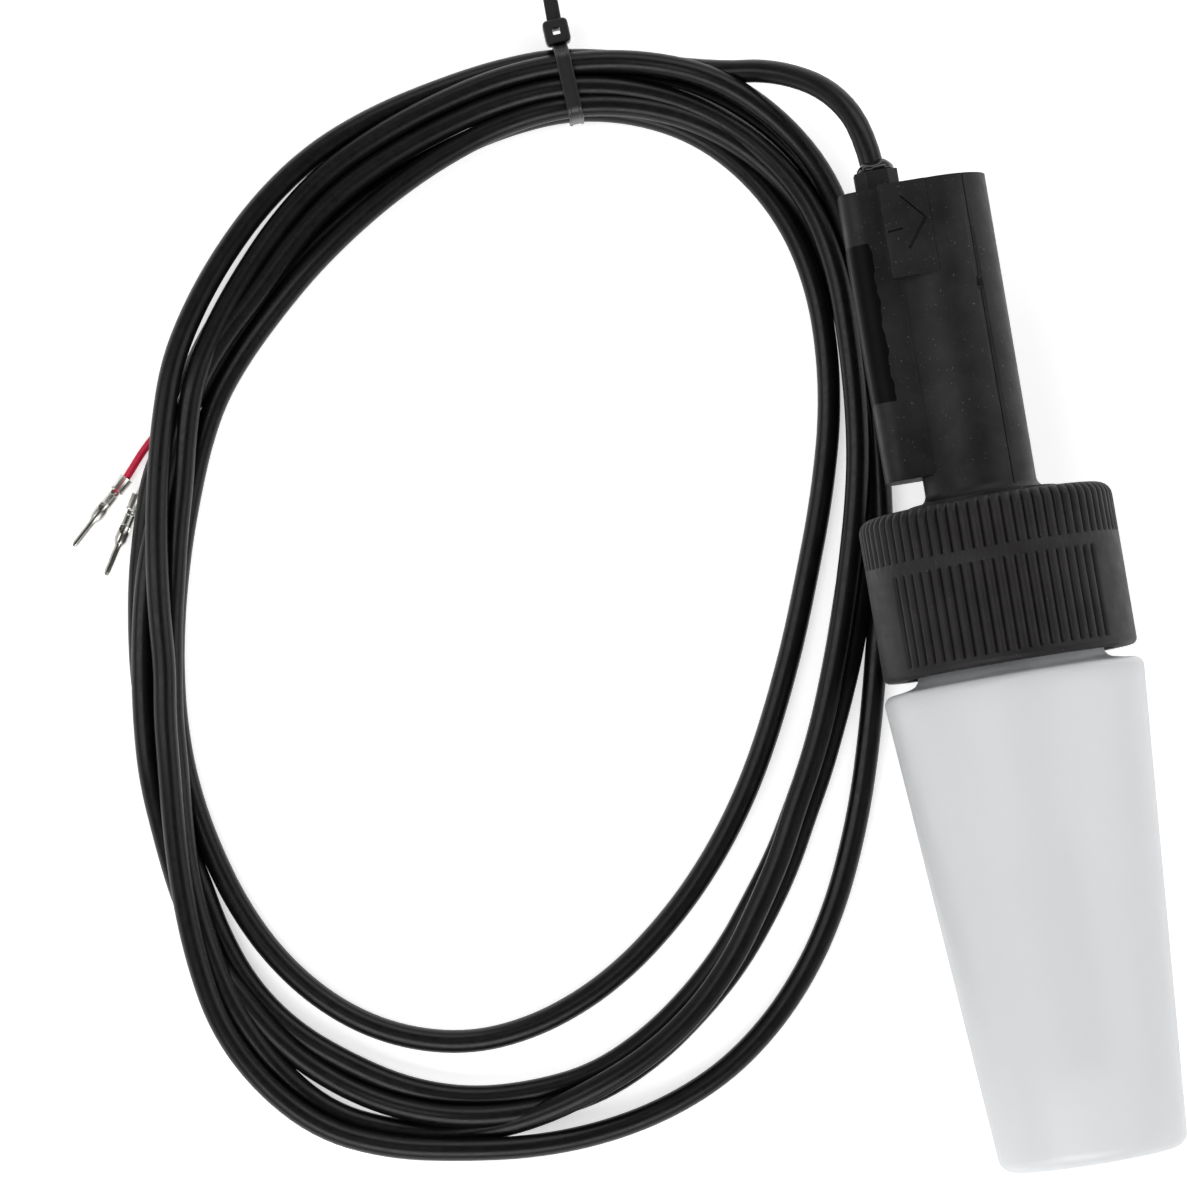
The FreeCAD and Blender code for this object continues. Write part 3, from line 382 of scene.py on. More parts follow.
# Stages of each turn: the step, the share of the way from the inner to the outer line,
# and the height of its middle line.
TURNS = (
    ((0, 1.0, LOW), (3, 1.0, MID), (4, 1.0, 6.8), (5, 0.8, 7.6), (6, 0.44, TOP), (7, 0.15, TOP),
     (8, 0.33, TOP), (9, 0.88, 7.8), (10, 1.0, 5.8), (11, 1.0, 4.6), (12, 1.0, 4.9), (13, 1.0, LOW),
     (21, 1.0, LOW), (22, 1.0, MID), (23, 0.97, 8.8), (24, 0.85, MID)),
    ((0, 0.85, MID), (2, 0.71, MID), (3, 0.6, MID), (4, 0.5, 6.5), (5, 0.19, MID), (6, 0.03, MID),
     (7, 0.0, MID), (8, 0.13, MID), (9, 0.68, MID), (10, 0.75, 4.9), (11, 0.85, LOW), (12, 0.86, LOW),
     (13, 0.66, MID), (14, 0.56, MID), (15, 0.46, MID), (16, 0.43, MID), (17, 0.49, MID), (18, 0.53, MID),
     (19, 0.55, MID), (20, 0.61, MID), (21, 0.55, MID), (22, 0.5, MID), (23, 0.43, MID), (24, 0.45, MID)),
    ((0, 0.45, MID), (2, 0.41, MID), (3, 0.31, MID), (4, 0.45, MID), (5, 0.6, MID), (6, 0.76, MID),
     (7, 0.9, MID), (8, 0.97, MID), (9, 1.0, 3.0), (10, 0.6, 4.2), (11, 0.585, LOW), (12, 0.71, 4.2),
     (13, 0.7, LOW), (14, 0.58, LOW), (15, 0.54, LOW), (16, 0.54, LOW), (17, 0.62, LOW), (18, 0.72, LOW),
     (20, 0.85, LOW), (21, 0.6, LOW), (22, 0.4, LOW), (23, 0.2, MID), (24, 0.1, MID)),
    ((0, 0.1, MID), (2, 0.0, 4.6), (4, 0.0, LOW), (22, 0.0, LOW), (24, 0.08, LOW)),
    ((0, 0.08, LOW), (2, 0.17, LOW), (3, 0.22, LOW), (4, 0.35, LOW), (5, 1.0, 3.8), (6, 1.0, LOW),
     (7, 1.0, LOW), (8, 0.75, LOW), (9, 0.5, LOW), (10, 0.46, LOW), (11, 0.38, LOW), (12, 0.53, LOW),
     (13, 0.56, LOW), (14, 0.465, LOW), (15, 0.41, LOW), (16, 0.43, LOW), (17, 0.49, LOW), (18, 0.53, LOW),
     (20, 0.62, LOW), (21, 0.8, LOW), (22, 0.85, LOW), (23, 0.75, LOW), (24, 0.62, LOW)),
)
# The last stretch, from the tie down to the jacket's end under the turns
LAST_TURN = ((0, 0.62, LOW), (2, 0.5, LOW), (4.25, 0.64, LOW))


def between(stages, station):
    """Share and height at a station, eased from one stage to the next."""
    for first, second in zip(stages, stages[1:]):
        if first[0] <= station <= second[0]:
            part = (station - first[0]) / (second[0] - first[0])
            eased = part * part * (3 - 2 * part)
            return [a + (b - a) * eased for a, b in zip(first[1:], second[1:])]
    return stages[-1][1:]


def reach_at(reaches, station):
    """A reach between the even steps, on a smooth curve through them."""
    low = math.floor(station)
    part = station - low
    before, first, second, after = (reaches[(low + step) % STATIONS] for step in (-1, 0, 1, 2))
    bend = (after - 3 * second + 3 * first - before) * part + 2 * before - 5 * first + 4 * second - after
    return first + part / 2 * (second - before + part * bend)


def turn_point(stages, station):
    """A point of a turn, between the innermost and the outermost line, lifted by the strap at the tie."""
    share, height = between(stages, station)
    if station % STATIONS == 0:
        height += TIE_LIFT
    inner = reach_at(INNER_REACH, station)
    reach = inner + (reach_at(OUTER_REACH, station) - inner) * share
    angle = math.radians(COIL_START + COIL_STEP * station)
    return spot(COIL_MIDDLE[0] + reach * math.cos(angle), COIL_MIDDLE[1] + reach * math.sin(angle), height)


def lead_points():
    """The lead's route from the housing to the jacket's end, with two points at each station."""
    points = [spot(*place) for place in LEAD_ROUTE]
    for stages in TURNS:
        points += [turn_point(stages, half / 2) for half in range(2 * STATIONS)]
    end = LAST_TURN[-1][0]
    points += [turn_point(LAST_TURN, half / 2) for half in range(math.floor(2 * end) + 1)]
    return points + [turn_point(LAST_TURN, end)]


def add_cord(name, points, diameter, steps=6):
    """A round cord on one smooth spline."""
    curve = bpy.data.curves.new(name, "CURVE")
    curve.dimensions = "3D"
    curve.resolution_u = steps
    curve.bevel_depth = diameter / 2
    curve.bevel_resolution = 6
    curve.use_fill_caps = True
    spline = curve.splines.new("NURBS")
    spline.points.add(len(points) - 1)
    for point, place in zip(spline.points, points):
        point.co = (*place, 1)
    spline.order_u = 3
    spline.use_endpoint_u = True
    obj = bpy.data.objects.new(name, curve)
    bpy.context.scene.collection.objects.link(obj)
    return obj


# Union nut
NUT_RADIUS = 20.5
NUT_TOP = 29.3
NUT_HOLE = 12.3
NUT_BORE = 16.5
BORE_CHAMFER = 0.35
RIM_ROUND = 1.0
RIM_STEPS = 4
PLATE_UNDER = 26.2
RELIEF = 0.6
EDGE_ROUND = 2.2
EDGE_STEPS = 9
HOLE_ROUND = 0.3
HOLE_BULGE = 0.08
RIBS = 72
RIB_SAMPLES = 10
RIB_DEPTH = 0.7
RIB_SHARE = 0.94
RIB_POWER = 2.2
NUT_TURN = math.radians(-5)
LOWER_FOOT = 4.4
LOWER_HALF = math.radians(52.5)
BAND_FOOT = 19.2
UPPER_FOOT = 21.1
# How the grooves run out: the height from the foot of a tier or a band, and the share of the depth
LOWER_RUNOUT = ((0, 0), (0.12, 0.6), (0.4, 0.95), (1.0, 1))
BAND_RUNOUT = ((-0.8, 1), (-0.3, 0.95), (-0.08, 0.6), (0, 0))
UPPER_RUNOUT = ((0, 0), (0.08, 0.6), (0.3, 0.95), (0.8, 1))
# Over the rounded edge the grooves end at this lean and fade over this span
GROOVE_END = 1.25
GROOVE_FADE = 0.7
# The thread in the bore, from its top to its foot
BORE_THREAD = (20.0, 4.5)
BORE_THREAD_RISE = 0.4
BORE_PLAIN = 0.5
BORE_STEPS = 52
BORE_FADE_ROWS = 4

# Thread form of the nut and the cup
THREAD_PITCH = 3.2
THREAD_COLUMNS = 120
THREAD_VALLEY = 0.35
THREAD_FLANK = 0.3


def rib_groove(angle, shift=0.0):
    """How deep the groove is at an angle, from 0 on a rib's crest to 1 in a valley."""
    place = (angle - NUT_TURN) / TAU * RIBS + shift
    across = abs(2 * (place - math.floor(place)) - 1)
    return 1 - math.sqrt(max(0.0, 1 - min(1.0, across / RIB_SHARE) ** RIB_POWER))


def nut_rows():
    """Rows of the nut's outside, each a radius, a height, a groove share, a lean and a tier."""
    rim = NUT_RADIUS - RIM_ROUND
    rows = [(NUT_BORE + BORE_CHAMFER, NUT_LIFT, 0, 0, "rim"), (rim, NUT_LIFT, 0, 0, "rim")]
    for radius, height in arc((rim, NUT_LIFT + RIM_ROUND), RIM_ROUND, -90, 0, RIM_STEPS)[1:]:
        rows.append((radius, height, 0, 0, "rim"))
    for tier, foot, runout in (("lower", LOWER_FOOT, LOWER_RUNOUT), ("lower", BAND_FOOT, BAND_RUNOUT),
                               ("upper", UPPER_FOOT, UPPER_RUNOUT)):
        rows += [(NUT_RADIUS, foot + rise, share, 0, tier) for rise, share in runout]
    radius, height = NUT_RADIUS - EDGE_ROUND, NUT_TOP - EDGE_ROUND
    for step in range(EDGE_STEPS + 1):
        lean = math.pi / 2 * step / EDGE_STEPS
        share = max(0.0, min(1.0, (GROOVE_END - lean) / GROOVE_FADE))
        rows.append((radius + EDGE_ROUND * math.cos(lean), height + EDGE_ROUND * math.sin(lean), share,
                     lean, "upper"))
    rows.append((NUT_HOLE + HOLE_ROUND, NUT_TOP, 0, 0, "rim"))
    rows.append((NUT_HOLE + HOLE_BULGE, NUT_TOP - HOLE_BULGE, 0, 0, "rim"))
    rows.append((NUT_HOLE, NUT_TOP - HOLE_ROUND, 0, 0, "rim"))
    return rows


def thread_wave(height, angle, pitch):
    """A flat-topped ridge that climbs one pitch a turn, from 0 to 1."""
    place = height / pitch - angle / TAU
    across = abs(2 * (place - math.floor(place)) - 1)
    return max(0.0, min(1.0, (across - THREAD_VALLEY) / THREAD_FLANK))


def make_nut():
    """The ribbed outside of the nut and its threaded bore."""
    rows = nut_rows()

    def ribbed(row, angle, radius, height):
        share, lean, tier = rows[row][2:]
        if tier == "lower":
            turned = (angle - NUT_TURN + math.pi / 2) % math.pi - math.pi / 2
            if abs(turned) > LOWER_HALF:
                share = 0
        shift = 0.5 if tier == "upper" else 0.0
        depth = RIB_DEPTH * share * rib_groove(angle, shift) if share else 0
        return radius - depth * math.cos(lean), height - depth * math.sin(lean)

    outline = [row[:2] for row in rows]
    outside = lathe("union_nut_ribbed", outline, RIBS * RIB_SAMPLES, smooth_angle=50, shift=ribbed,
                    closed=False)
    finish_piece(outside, "nut", "nut_plastic", ("union_nut",))

    top, foot = BORE_THREAD
    profile = [(NUT_HOLE, NUT_TOP - HOLE_ROUND), (NUT_HOLE, PLATE_UNDER + HOLE_ROUND),
               (NUT_HOLE + HOLE_ROUND, PLATE_UNDER), (NUT_BORE - RELIEF, PLATE_UNDER),
               (NUT_BORE, PLATE_UNDER - RELIEF), (NUT_BORE, top + BORE_PLAIN)]
    first = len(profile)
    last = first + BORE_STEPS
    profile += [(NUT_BORE, top + (foot - top) * step / BORE_STEPS) for step in range(BORE_STEPS + 1)]
    profile += [(NUT_BORE, NUT_LIFT + BORE_PLAIN), (NUT_BORE + BORE_CHAMFER, NUT_LIFT)]

    def threaded(row, angle, radius, height):
        if not first <= row <= last:
            return radius, height
        ends = min(1.0, (row - first) / BORE_FADE_ROWS, (last - row) / BORE_FADE_ROWS)
        return radius - BORE_THREAD_RISE * ends * thread_wave(height, angle, THREAD_PITCH), height

    bore = lathe("union_nut_bore", profile, THREAD_COLUMNS, smooth_angle=40, shift=threaded, closed=False)
    finish_piece(bore, "nut", "nut_plastic")


# Transit cup: radii, and heights from the foot or from the shoulder
CUP_DEPTH = 77.0
CUP_WALL = 1.3
CUP_FLOOR = 1.6
WALL_LEAN = -4.455
FOOT_RECESS = ((0, 0.3), (4.0, 0.3), (5.0, 0.25), (9.5, 0.05), (11.0, 0))
FOOT_MIDDLE = (12.78, 2.4)
FOOT_ROUND = 2.4
FOOT_STEPS = 9
OUTER_WALL = (15.18, 2.2, 20.88, -1.4)
OUTER_SHARES = (0.12, 0.35, 0.6, 0.85)
SHOULDER_MIDDLE = (19.45, -0.6)
SHOULDER_ROUND = 1.5
SHOULDER_END = 82.0
SHOULDER_STEPS = 8
SHOULDER_SLOPE = ((18.2, 1.08), (17.2, 1.28), (16.3, 1.5), (15.6, 1.85), (15.15, 2.4))
NECK = 15.0
NECK_FOOT = 3.2
NECK_CHAMFER = 0.3
NECK_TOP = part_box("transit_cup")[1][1]
NECK_THREAD = (5.4, 19.6)
NECK_STEPS = 56
NECK_FADE_ROWS = 6
# Steps inwards from the neck's bore down to the inside of the shoulder
NECK_INSIDE = ((0, 1.2), (0.3, 0.2), (1.2, -0.35))
SHOULDER_INSIDE = ((18.4, -1.2), (19.3, -1.7), (19.5, -2.8))
INNER_WALL = (19.5, -2.8, 13.85, 3.4)
INNER_SHARES = (0.15, 0.4, 0.65, 0.88)
FLOOR_ROUND = ((13.65, 3.2), (13.3, 2.2), (12.4, CUP_FLOOR + 0.1), (11.6, CUP_FLOOR), (0, CUP_FLOOR))


def make_cup():
    """The cup turned as one closed wall, with the thread on its neck."""
    neck_top = (NECK_TOP - SHOULDER_Y) / MM
    foot = -CUP_DEPTH
    profile = [(radius, foot + rise) for radius, rise in FOOT_RECESS]
    profile += arc((FOOT_MIDDLE[0], foot + FOOT_MIDDLE[1]), FOOT_ROUND, -90, WALL_LEAN, FOOT_STEPS)
    low_radius, low, high_radius, high = OUTER_WALL
    low += foot
    for share in OUTER_SHARES:
        profile.append((low_radius + (high_radius - low_radius) * share, low + (high - low) * share))
    profile += arc(SHOULDER_MIDDLE, SHOULDER_ROUND, WALL_LEAN, SHOULDER_END, SHOULDER_STEPS)
    profile += [*SHOULDER_SLOPE, (NECK, NECK_FOOT)]
    first = len(profile)
    last = first + NECK_STEPS
    low, high = NECK_THREAD
    profile += [(NECK, low + (high - low) * step / NECK_STEPS) for step in range(NECK_STEPS + 1)]
    inside = NECK - CUP_WALL
    profile += [(NECK, neck_top - NECK_CHAMFER), (NECK - NECK_CHAMFER, neck_top),
                (inside + NECK_CHAMFER, neck_top), (inside, neck_top - NECK_CHAMFER)]
    profile += [(inside + step, height) for step, height in NECK_INSIDE]
    profile += SHOULDER_INSIDE
    high_radius, high, low_radius, low = INNER_WALL
    low += foot
    for share in INNER_SHARES:
        profile.append((high_radius + (low_radius - high_radius) * share, high + (low - high) * share))
    profile += [(radius, foot + rise) for radius, rise in FLOOR_ROUND]

    def threaded(row, angle, radius, height):
        if not first <= row <= last:
            return radius, height
        ends = min(1.0, (row - first) / NECK_FADE_ROWS, (last - row) / NECK_FADE_ROWS)
        return radius + ends * thread_wave(height, angle, THREAD_PITCH), height

    cup = lathe("transit_cup_moulded", profile, THREAD_COLUMNS, smooth_angle=40, shift=threaded)
    finish_piece(cup, "cup", "cup_plastic", ("transit_cup",))


def sweep(name, sections, closed=False, smooth_angle=35):
    """Joins rings with equal numbers of points into a solid, capped at its ends where it is open."""
    count = len(sections[0])
    vertices = [point for ring in sections for point in ring]
    faces = []
    spans = len(sections) if closed else len(sections) - 1
    for index in range(spans):
        here = index * count
        there = (index + 1) % len(sections) * count
        for place in range(count):
            after = (place + 1) % count
            faces.append((here + place, here + after, there + after, there + place))
    if not closed:
        faces.append(tuple(range(count)))
        faces.append(tuple(range((len(sections) - 1) * count, len(sections) * count)))
    return add_mesh(name, vertices, faces, smooth_angle)


def rounded_ring(width, length, corner, steps=4):
    """Corners of a rounded rectangle about the middle, against the clock."""
    ring = []
    for side_x, side_y, start in ((1, 1, 0), (-1, 1, 90), (-1, -1, 180), (1, -1, 270)):
        middle = (side_x * (width / 2 - corner), side_y * (length / 2 - corner))
        ring += arc(middle, corner, start, start + 90, steps)
    return ring


def hull_path(middles, radius, steps=5):
    """Middle line of a band drawn tight round equal circles, given in order against the clock."""
    normals = []
    for here, there in zip(middles, middles[1:] + middles[:1]):
        across, rise = there[0] - here[0], there[1] - here[1]
        normals.append(math.degrees(math.atan2(-across, rise)))
    path = []
    for index, middle in enumerate(middles):
        start = normals[index - 1]
        end = start + (normals[index] - start) % 360
        path += arc(middle, radius, start, end, steps)
    return path


# Cable tie, in its own frame: u across the strap, v along it, w up
TIE_AT = (-54.3, 109.4)
TIE_TURN = math.radians(3.5)
TIE_WIDTH = 2.4
TIE_THICK = 0.9
TIE_GAP = 0.02
STRAP_EDGE = 0.14
STRAP_RAIL = 0.45
STRAP_SLOPE = 0.15
STRAP_HOLLOW = 0.16
# The turns that the strap is drawn round, as (v, w) against the clock
TIED = [(-4.0, 2.8), (4.5, 2.8), (3.4, 6.2), (-3.8, 6.2)]
TIE_HEAD = (6.5, 10.6)
# Rings of the head from its opening outwards and back: width, what its length falls short of the
# whole, corner and height
HEAD_RINGS = [(3.7, 0.5, 0.5, 3.0), (4.1, 0.12, 0.7, 3.2), (4.2, 0, 0.8, 3.6), (4.2, 0, 0.8, 6.0),
              (4.1, 0.12, 0.7, 6.4), (3.7, 0.5, 0.5, 6.6)]
# Rings of the opening: width, length, corner and height
OPENING_TOP = [(1.5, 1.3, 0.2, 6.6), (1.3, 1.1, 0.2, 6.45)]
OPENING_FOOT = (1.3, 1.1, 0.2, 3.0)
TAIL_LENGTH = 22.0
TAIL_STEPS = 44
TAIL_START = 0.6
TAIL_THICK = 0.8
TAIL_LIFT = 5.3
TAIL_TAPER = 0.12
TAIL_POINT = 0.93
TAIL_SLOPE = 5
TAIL_BOW = 0.35
TOOTH = 0.07


def tie_spot(u, v, w):
    """A point of the tie's frame, in metres."""
    x = TIE_AT[0] + u * math.cos(TIE_TURN) - v * math.sin(TIE_TURN)
    s = TIE_AT[1] + u * math.sin(TIE_TURN) + v * math.cos(TIE_TURN)
    return spot(x, s, w)


def strap_section(width, thick):
    """Cross-section of the strap, its outer side slightly hollow, as offsets across and outwards."""
    side = width / 2
    half = thick / 2
    edge = STRAP_EDGE
    rail = side - STRAP_RAIL
    slope = rail - STRAP_SLOPE
    return [(-side, -half + edge), (-side + edge, -half), (side - edge, -half), (side, -half + edge),
            (side, half - edge), (side - edge, half), (rail, half), (slope, half - STRAP_HOLLOW),
            (-slope, half - STRAP_HOLLOW), (-rail, half), (-side + edge, half), (-side, half - edge)]


def make_strap():
    """The strap in its loop round the turns."""
    path = hull_path(TIED, CABLE / 2 + TIE_THICK / 2 + TIE_GAP)
    sections = []
    for index, (v, w) in enumerate(path):
        before, after = path[index - 1], path[(index + 1) % len(path)]
        along = Vector((after[0] - before[0], after[1] - before[1])).normalized()
        ring = []
        for across, out in strap_section(TIE_WIDTH, TIE_THICK):
            ring.append(tie_spot(across, v + along.y * out, w - along.x * out))
        sections.append(ring)
    strap = sweep("tie_strap", sections, closed=True)
    return finish_piece(strap, "housing", "tie_plastic", ("cable_tie",))


def make_tie_head():
    """The tie's head with the opening that the strap runs through."""
    middle = (TIE_HEAD[0] + TIE_HEAD[1]) / 2
    length = TIE_HEAD[1] - TIE_HEAD[0]
    outside = [(width, length - short, corner, height) for width, short, corner, height in HEAD_RINGS]
    sections = []
    for width, extent, corner, height in [OPENING_FOOT, *outside, *OPENING_TOP]:
        ring = rounded_ring(width, extent, corner)
        sections.append([tie_spot(u, middle + v, height) for u, v in ring])
    head = sweep("tie_head", sections, closed=True)
    return finish_piece(head, "housing", "tie_plastic")


def make_tie_tail():
    """The strap's free end, toothed, slightly bowed and pointed."""
    sections = []
    for step in range(TAIL_STEPS + 1):
        share = step / TAIL_STEPS
        width = TIE_WIDTH * (1 - TAIL_TAPER * share)
        if share >= TAIL_POINT:
            width *= 1 - (share - TAIL_POINT) * TAIL_SLOPE
        thick = TAIL_THICK - (TOOTH if step % 2 else 0.0)
        bow = TAIL_BOW * math.sin(math.pi * share)
        v = TIE_HEAD[1] - TAIL_START + (TAIL_LENGTH + TAIL_START) * share
        sections.append([tie_spot(u + bow, v, TAIL_LIFT + w) for u, w in strap_section(width, thick)])
    tail = sweep("tie_tail", sections, smooth_angle=25)
    return finish_piece(tail, "housing", "tie_plastic")


def make_tie():
    """The tie in its three pieces."""
    return make_strap(), make_tie_head(), make_tie_tail()


# Cores and their crimped contacts
CORE = 1.3
RED_ROUTE = [(-125.6, 66.8, 1.2), (-129.4, 64.6, 1.3), (-133.2, 61.2, 1.2), (-136.4, 57.3, 1.15)]
RED_TIP = (-147.6, 46.9)
WHITE_ROUTE = [(-126.0, 63.6, 1.2), (-128.9, 61.0, 1.3), (-132.0, 57.8, 1.2), (-134.9, 54.2, 1.15)]
WHITE_TIP = (-142.4, 41.9)
CORE_BITE = 2.9
# Rows of a contact: the distance along, half width, half height, half the gap in the seam in degrees
CONTACT_ROWS = [
    (0.0, 1.22, 1.06, 4), (0.25, 1.15, 1.0, 4), (2.3, 1.12, 0.98, 4), (2.55, 1.2, 1.04, 5),
    (2.75, 1.15, 1.0, 30), (2.95, 0.8, 0.7, 62), (3.4, 0.76, 0.68, 62), (3.55, 0.95, 0.78, 12),
    (3.75, 0.9, 0.72, 4), (5.2, 0.88, 0.72, 4), (5.4, 0.95, 0.78, 12), (5.6, 0.9, 0.8, 70),
    (6.3, 0.95, 0.85, 75), (6.7, 1.08, 0.95, 32), (6.9, 1.08, 0.95, 10), (8.0, 1.06, 0.93, 9),
    (8.5, 0.86, 0.8, 12), (8.9, 0.64, 0.6, 16), (9.3, 0.56, 0.55, 17), (13.3, 0.54, 0.53, 17),
    (13.9, 0.44, 0.43, 15), (14.2, 0.26, 0.26, 10),
]
CONTACT_STEPS = 14
SHEET = 0.2
SEAM_LIP = 0.25
SEAM_SHUT = 6


def make_contact(name, route, tip, node):
    """A contact rolled from sheet: insulation crimp, wire crimp, body and slotted pin."""
    start = spot(*route[-1])
    end = spot(tip[0], tip[1], route[-1][2])
    along = (end - start).normalized()
    side = Vector((0, 0, 1)).cross(along).normalized()
    up = along.cross(side)
    outwards = range(CONTACT_STEPS + 1)
    sections = []
    for distance, wide, tall, gap in CONTACT_ROWS:
        ring = []
        for shrink, order in ((0.0, outwards), (SHEET, reversed(outwards))):
            for step in order:
                angle = math.radians(gap + (360 - 2 * gap) * step / CONTACT_STEPS)
                turn_in = SEAM_LIP if gap < SEAM_SHUT and step in (0, CONTACT_STEPS) else 0.0
                across = math.sin(angle) * (wide - shrink)
                rise = math.cos(angle) * (tall - shrink - turn_in)
                ring.append(start + along * distance * MM + side * across * MM + up * rise * MM)
        sections.append(ring)
    contact = sweep(name, sections, smooth_angle=40)
    return finish_piece(contact, "housing", "tin", (node,))


def make_core(name, route, tip, slot, node):
    """A bare core from the jacket's end into its contact."""
    start = Vector(route[-1])
    heading = (Vector((tip[0], tip[1], start.z)) - start).normalized()
    points = [spot(*place) for place in route] + [spot(*(start + heading * CORE_BITE))]
    core = add_cord(name, points, CORE * MM)
    return finish_piece(core, "housing", slot, (node,))


# Bead of sealant: its rows as shares of the radius and of the height, and the blob on its right
BEAD_FOOT = 84.45
BEAD_RADIUS = 2.75
BEAD_HEIGHT = 1.5
BEAD_COLUMNS = 72
BEAD_ROWS = [(0.98, 0.0), (1.03, 0.2), (1.04, 0.4), (0.97, 0.62), (0.86, 0.8), (0.76, 0.93), (0.68, 1.0),
             (0.62, 1.02)]
BLOB_ANGLE = 52
BLOB_SPREAD = 24
BLOB_REACH = 0.5
BLOB_HEIGHT = 0.3
BLOB_TAPER = 0.5
BEAD_WAVES = ((2, 0.06, 0.8), (3, 0.05, 2.0))
BEAD_RIPPLE = ((3, 0.22, 0.0),)


def make_sealant():
    """Glossy bead where the cable leaves, uneven, with a blob on its right."""
    sections = []
    for wide, rise in BEAD_ROWS:
        ring = []
        for column in range(BEAD_COLUMNS):
            angle = TAU * column / BEAD_COLUMNS
            wobble = 1 + waves(angle, BEAD_WAVES)
            blob = math.exp(-((math.degrees(angle) - BLOB_ANGLE) / BLOB_SPREAD) ** 2)
            radius = BEAD_RADIUS * wide * wobble + BLOB_REACH * blob * (1 - rise * BLOB_TAPER)
            height = (BEAD_HEIGHT + waves(angle, BEAD_RIPPLE) + BLOB_HEIGHT * blob) * rise
            x = LEAD_EXIT[0] + radius * math.cos(angle)
            ring.append(on_axis(x, BEAD_FOOT + height, radius * math.sin(angle)))
        sections.append(ring)
    bead = sweep("sealant_bead", sections, smooth_angle=80)
    return finish_piece(bead, "housing", "sealant", ("sealant",))


def cut_from(target, tool):
    """Sinks a shape into a piece and hides it."""
    tool.hide_render = True
    tool.hide_viewport = True
    cut = target.modifiers.new(tool.name, "BOOLEAN")
    cut.operation = "DIFFERENCE"
    cut.solver = "EXACT"
    cut.object = tool


def prism(name, corners, low, high):
    """A prism over corners given as (x, s), between two heights above the axis."""
    sections = [[on_axis(x, s, level) for x, s in corners] for level in (low, high)]
    return sweep(name, sections, smooth_angle=None)


# Marks moulded into the housing: an arrow on its pad, a parting line and the mark of the gate
PAD_FACE = 9.25
ARROW_STROKES = [((-5.7, 79.0), (-2.2, 75.0)), ((-2.2, 75.1), (-5.6, 70.5)), ((-8.6, 73.6), (-6.1, 73.8))]
STROKE_WIDTHS = (0.26, 0.42, 0.34)
STROKE_DEPTH = 0.35
STEM_RADIUS = 9.0
PARTING_ANGLE = math.radians(31)
PARTING_HEIGHTS = (31.0, 82.5)
PARTING_CORNERS = ((-0.11, 1.0), (0.11, 1.0), (0.11, -0.16), (-0.11, -0.16))
GATE_HEIGHT = 63.5
GATE_HALF_WIDTH = 0.62
GATE_HALF_LENGTH = 1.35
GATE_DEPTH = 0.75
GATE_PROUD = 0.1
STUB_RADIUS = 0.3
STUB_TIP = 0.02
STUB_FOOT = -0.7
STUB_RISE = 0.45
STUB_DROP = 0.15


def stroke(start, end, width):
    """Four corners of a line with a width."""
    along = (Vector(end) - Vector(start)).normalized()
    side = Vector((-along.y, along.x)) * width / 2
    return [Vector(start) - side, Vector(end) - side, Vector(end) + side, Vector(start) + side]


def by_parting(height, reach, across):
    """A point near the parting line: how far it lies out from the stem's face and to the side."""
    turn = PARTING_ANGLE
    out = STEM_RADIUS + reach
    return on_axis(out * math.sin(turn) + across * math.cos(turn), height,
                   out * math.cos(turn) - across * math.sin(turn))


def make_gate_hollow():
    """An oval hollow on the parting line."""
    columns, rows = 24, 8
    sections = []
    for row in range(rows + 1):
        lean = math.pi * row / rows
        ring = []
        for column in range(columns):
            angle = TAU * column / columns
            across = GATE_HALF_WIDTH * math.sin(lean) * math.cos(angle)
            rise = GATE_HALF_LENGTH * math.sin(lean) * math.sin(angle)
            ring.append(by_parting(GATE_HEIGHT + rise, GATE_PROUD + GATE_DEPTH * math.cos(lean), across))
        sections.append(ring)
    return sweep("gate_hollow", sections)


def make_gate_stub():
    """The torn stub left in the hollow."""
    columns, rows = 16, 4
    sections = []
    for row in range(rows + 1):
        lean = math.pi / 2 * row / rows
        radius = STUB_RADIUS * math.cos(lean) + STUB_TIP
        ring = []
        for column in range(columns):
            angle = TAU * column / columns
            ring.append(by_parting(GATE_HEIGHT - STUB_DROP + radius * math.sin(angle),
                                   STUB_FOOT + STUB_RISE * math.sin(lean), radius * math.cos(angle)))
        sections.append(ring)
    return finish_piece(sweep("gate_stub", sections), "housing", "housing_plastic")


def mark_housing():
    """Cuts the arrow, the parting line and the gate's hollow into the housing."""
    body = frame["nodes"]["switch_body"]
    for index, ((start, end), width) in enumerate(zip(ARROW_STROKES, STROKE_WIDTHS)):
        corners = stroke(start, end, width)
        cut_from(body, prism(f"arrow_stroke_{index}", corners, PAD_FACE - STROKE_DEPTH, PAD_FACE + 1))
    sections = [[by_parting(height, reach, across) for across, reach in PARTING_CORNERS]
                for height in PARTING_HEIGHTS]
    cut_from(body, sweep("parting_groove", sections, smooth_angle=None))
    cut_from(body, make_gate_hollow())
    make_gate_stub()


# Painted shade: a near-black sheet with a ragged edge where the reed box's outer corner lies in deep
# shadow
SHADE_SHEET_FOOT = 47.2
SHADE_SHEET_LENGTH = 25.6
SHADE_SHEET_STEPS = 40
BOX_CORNER = (-11.9, 2.0)
BOX_ROUND = 3.0
CORNER_STEPS = 12
SHADE_SHEET_PROUD = 0.05
SHADE_SHEET_DEPTH = 0.3
SHADE_SHEET_FADE = 0.04
SHADE_SHEET_EDGE = 0.45
SHADE_SHEET_WAVES = ((23, 0.16, 0.0), (61, 0.1, 1.0))
SHADE_SHEET_LOW = -3.0


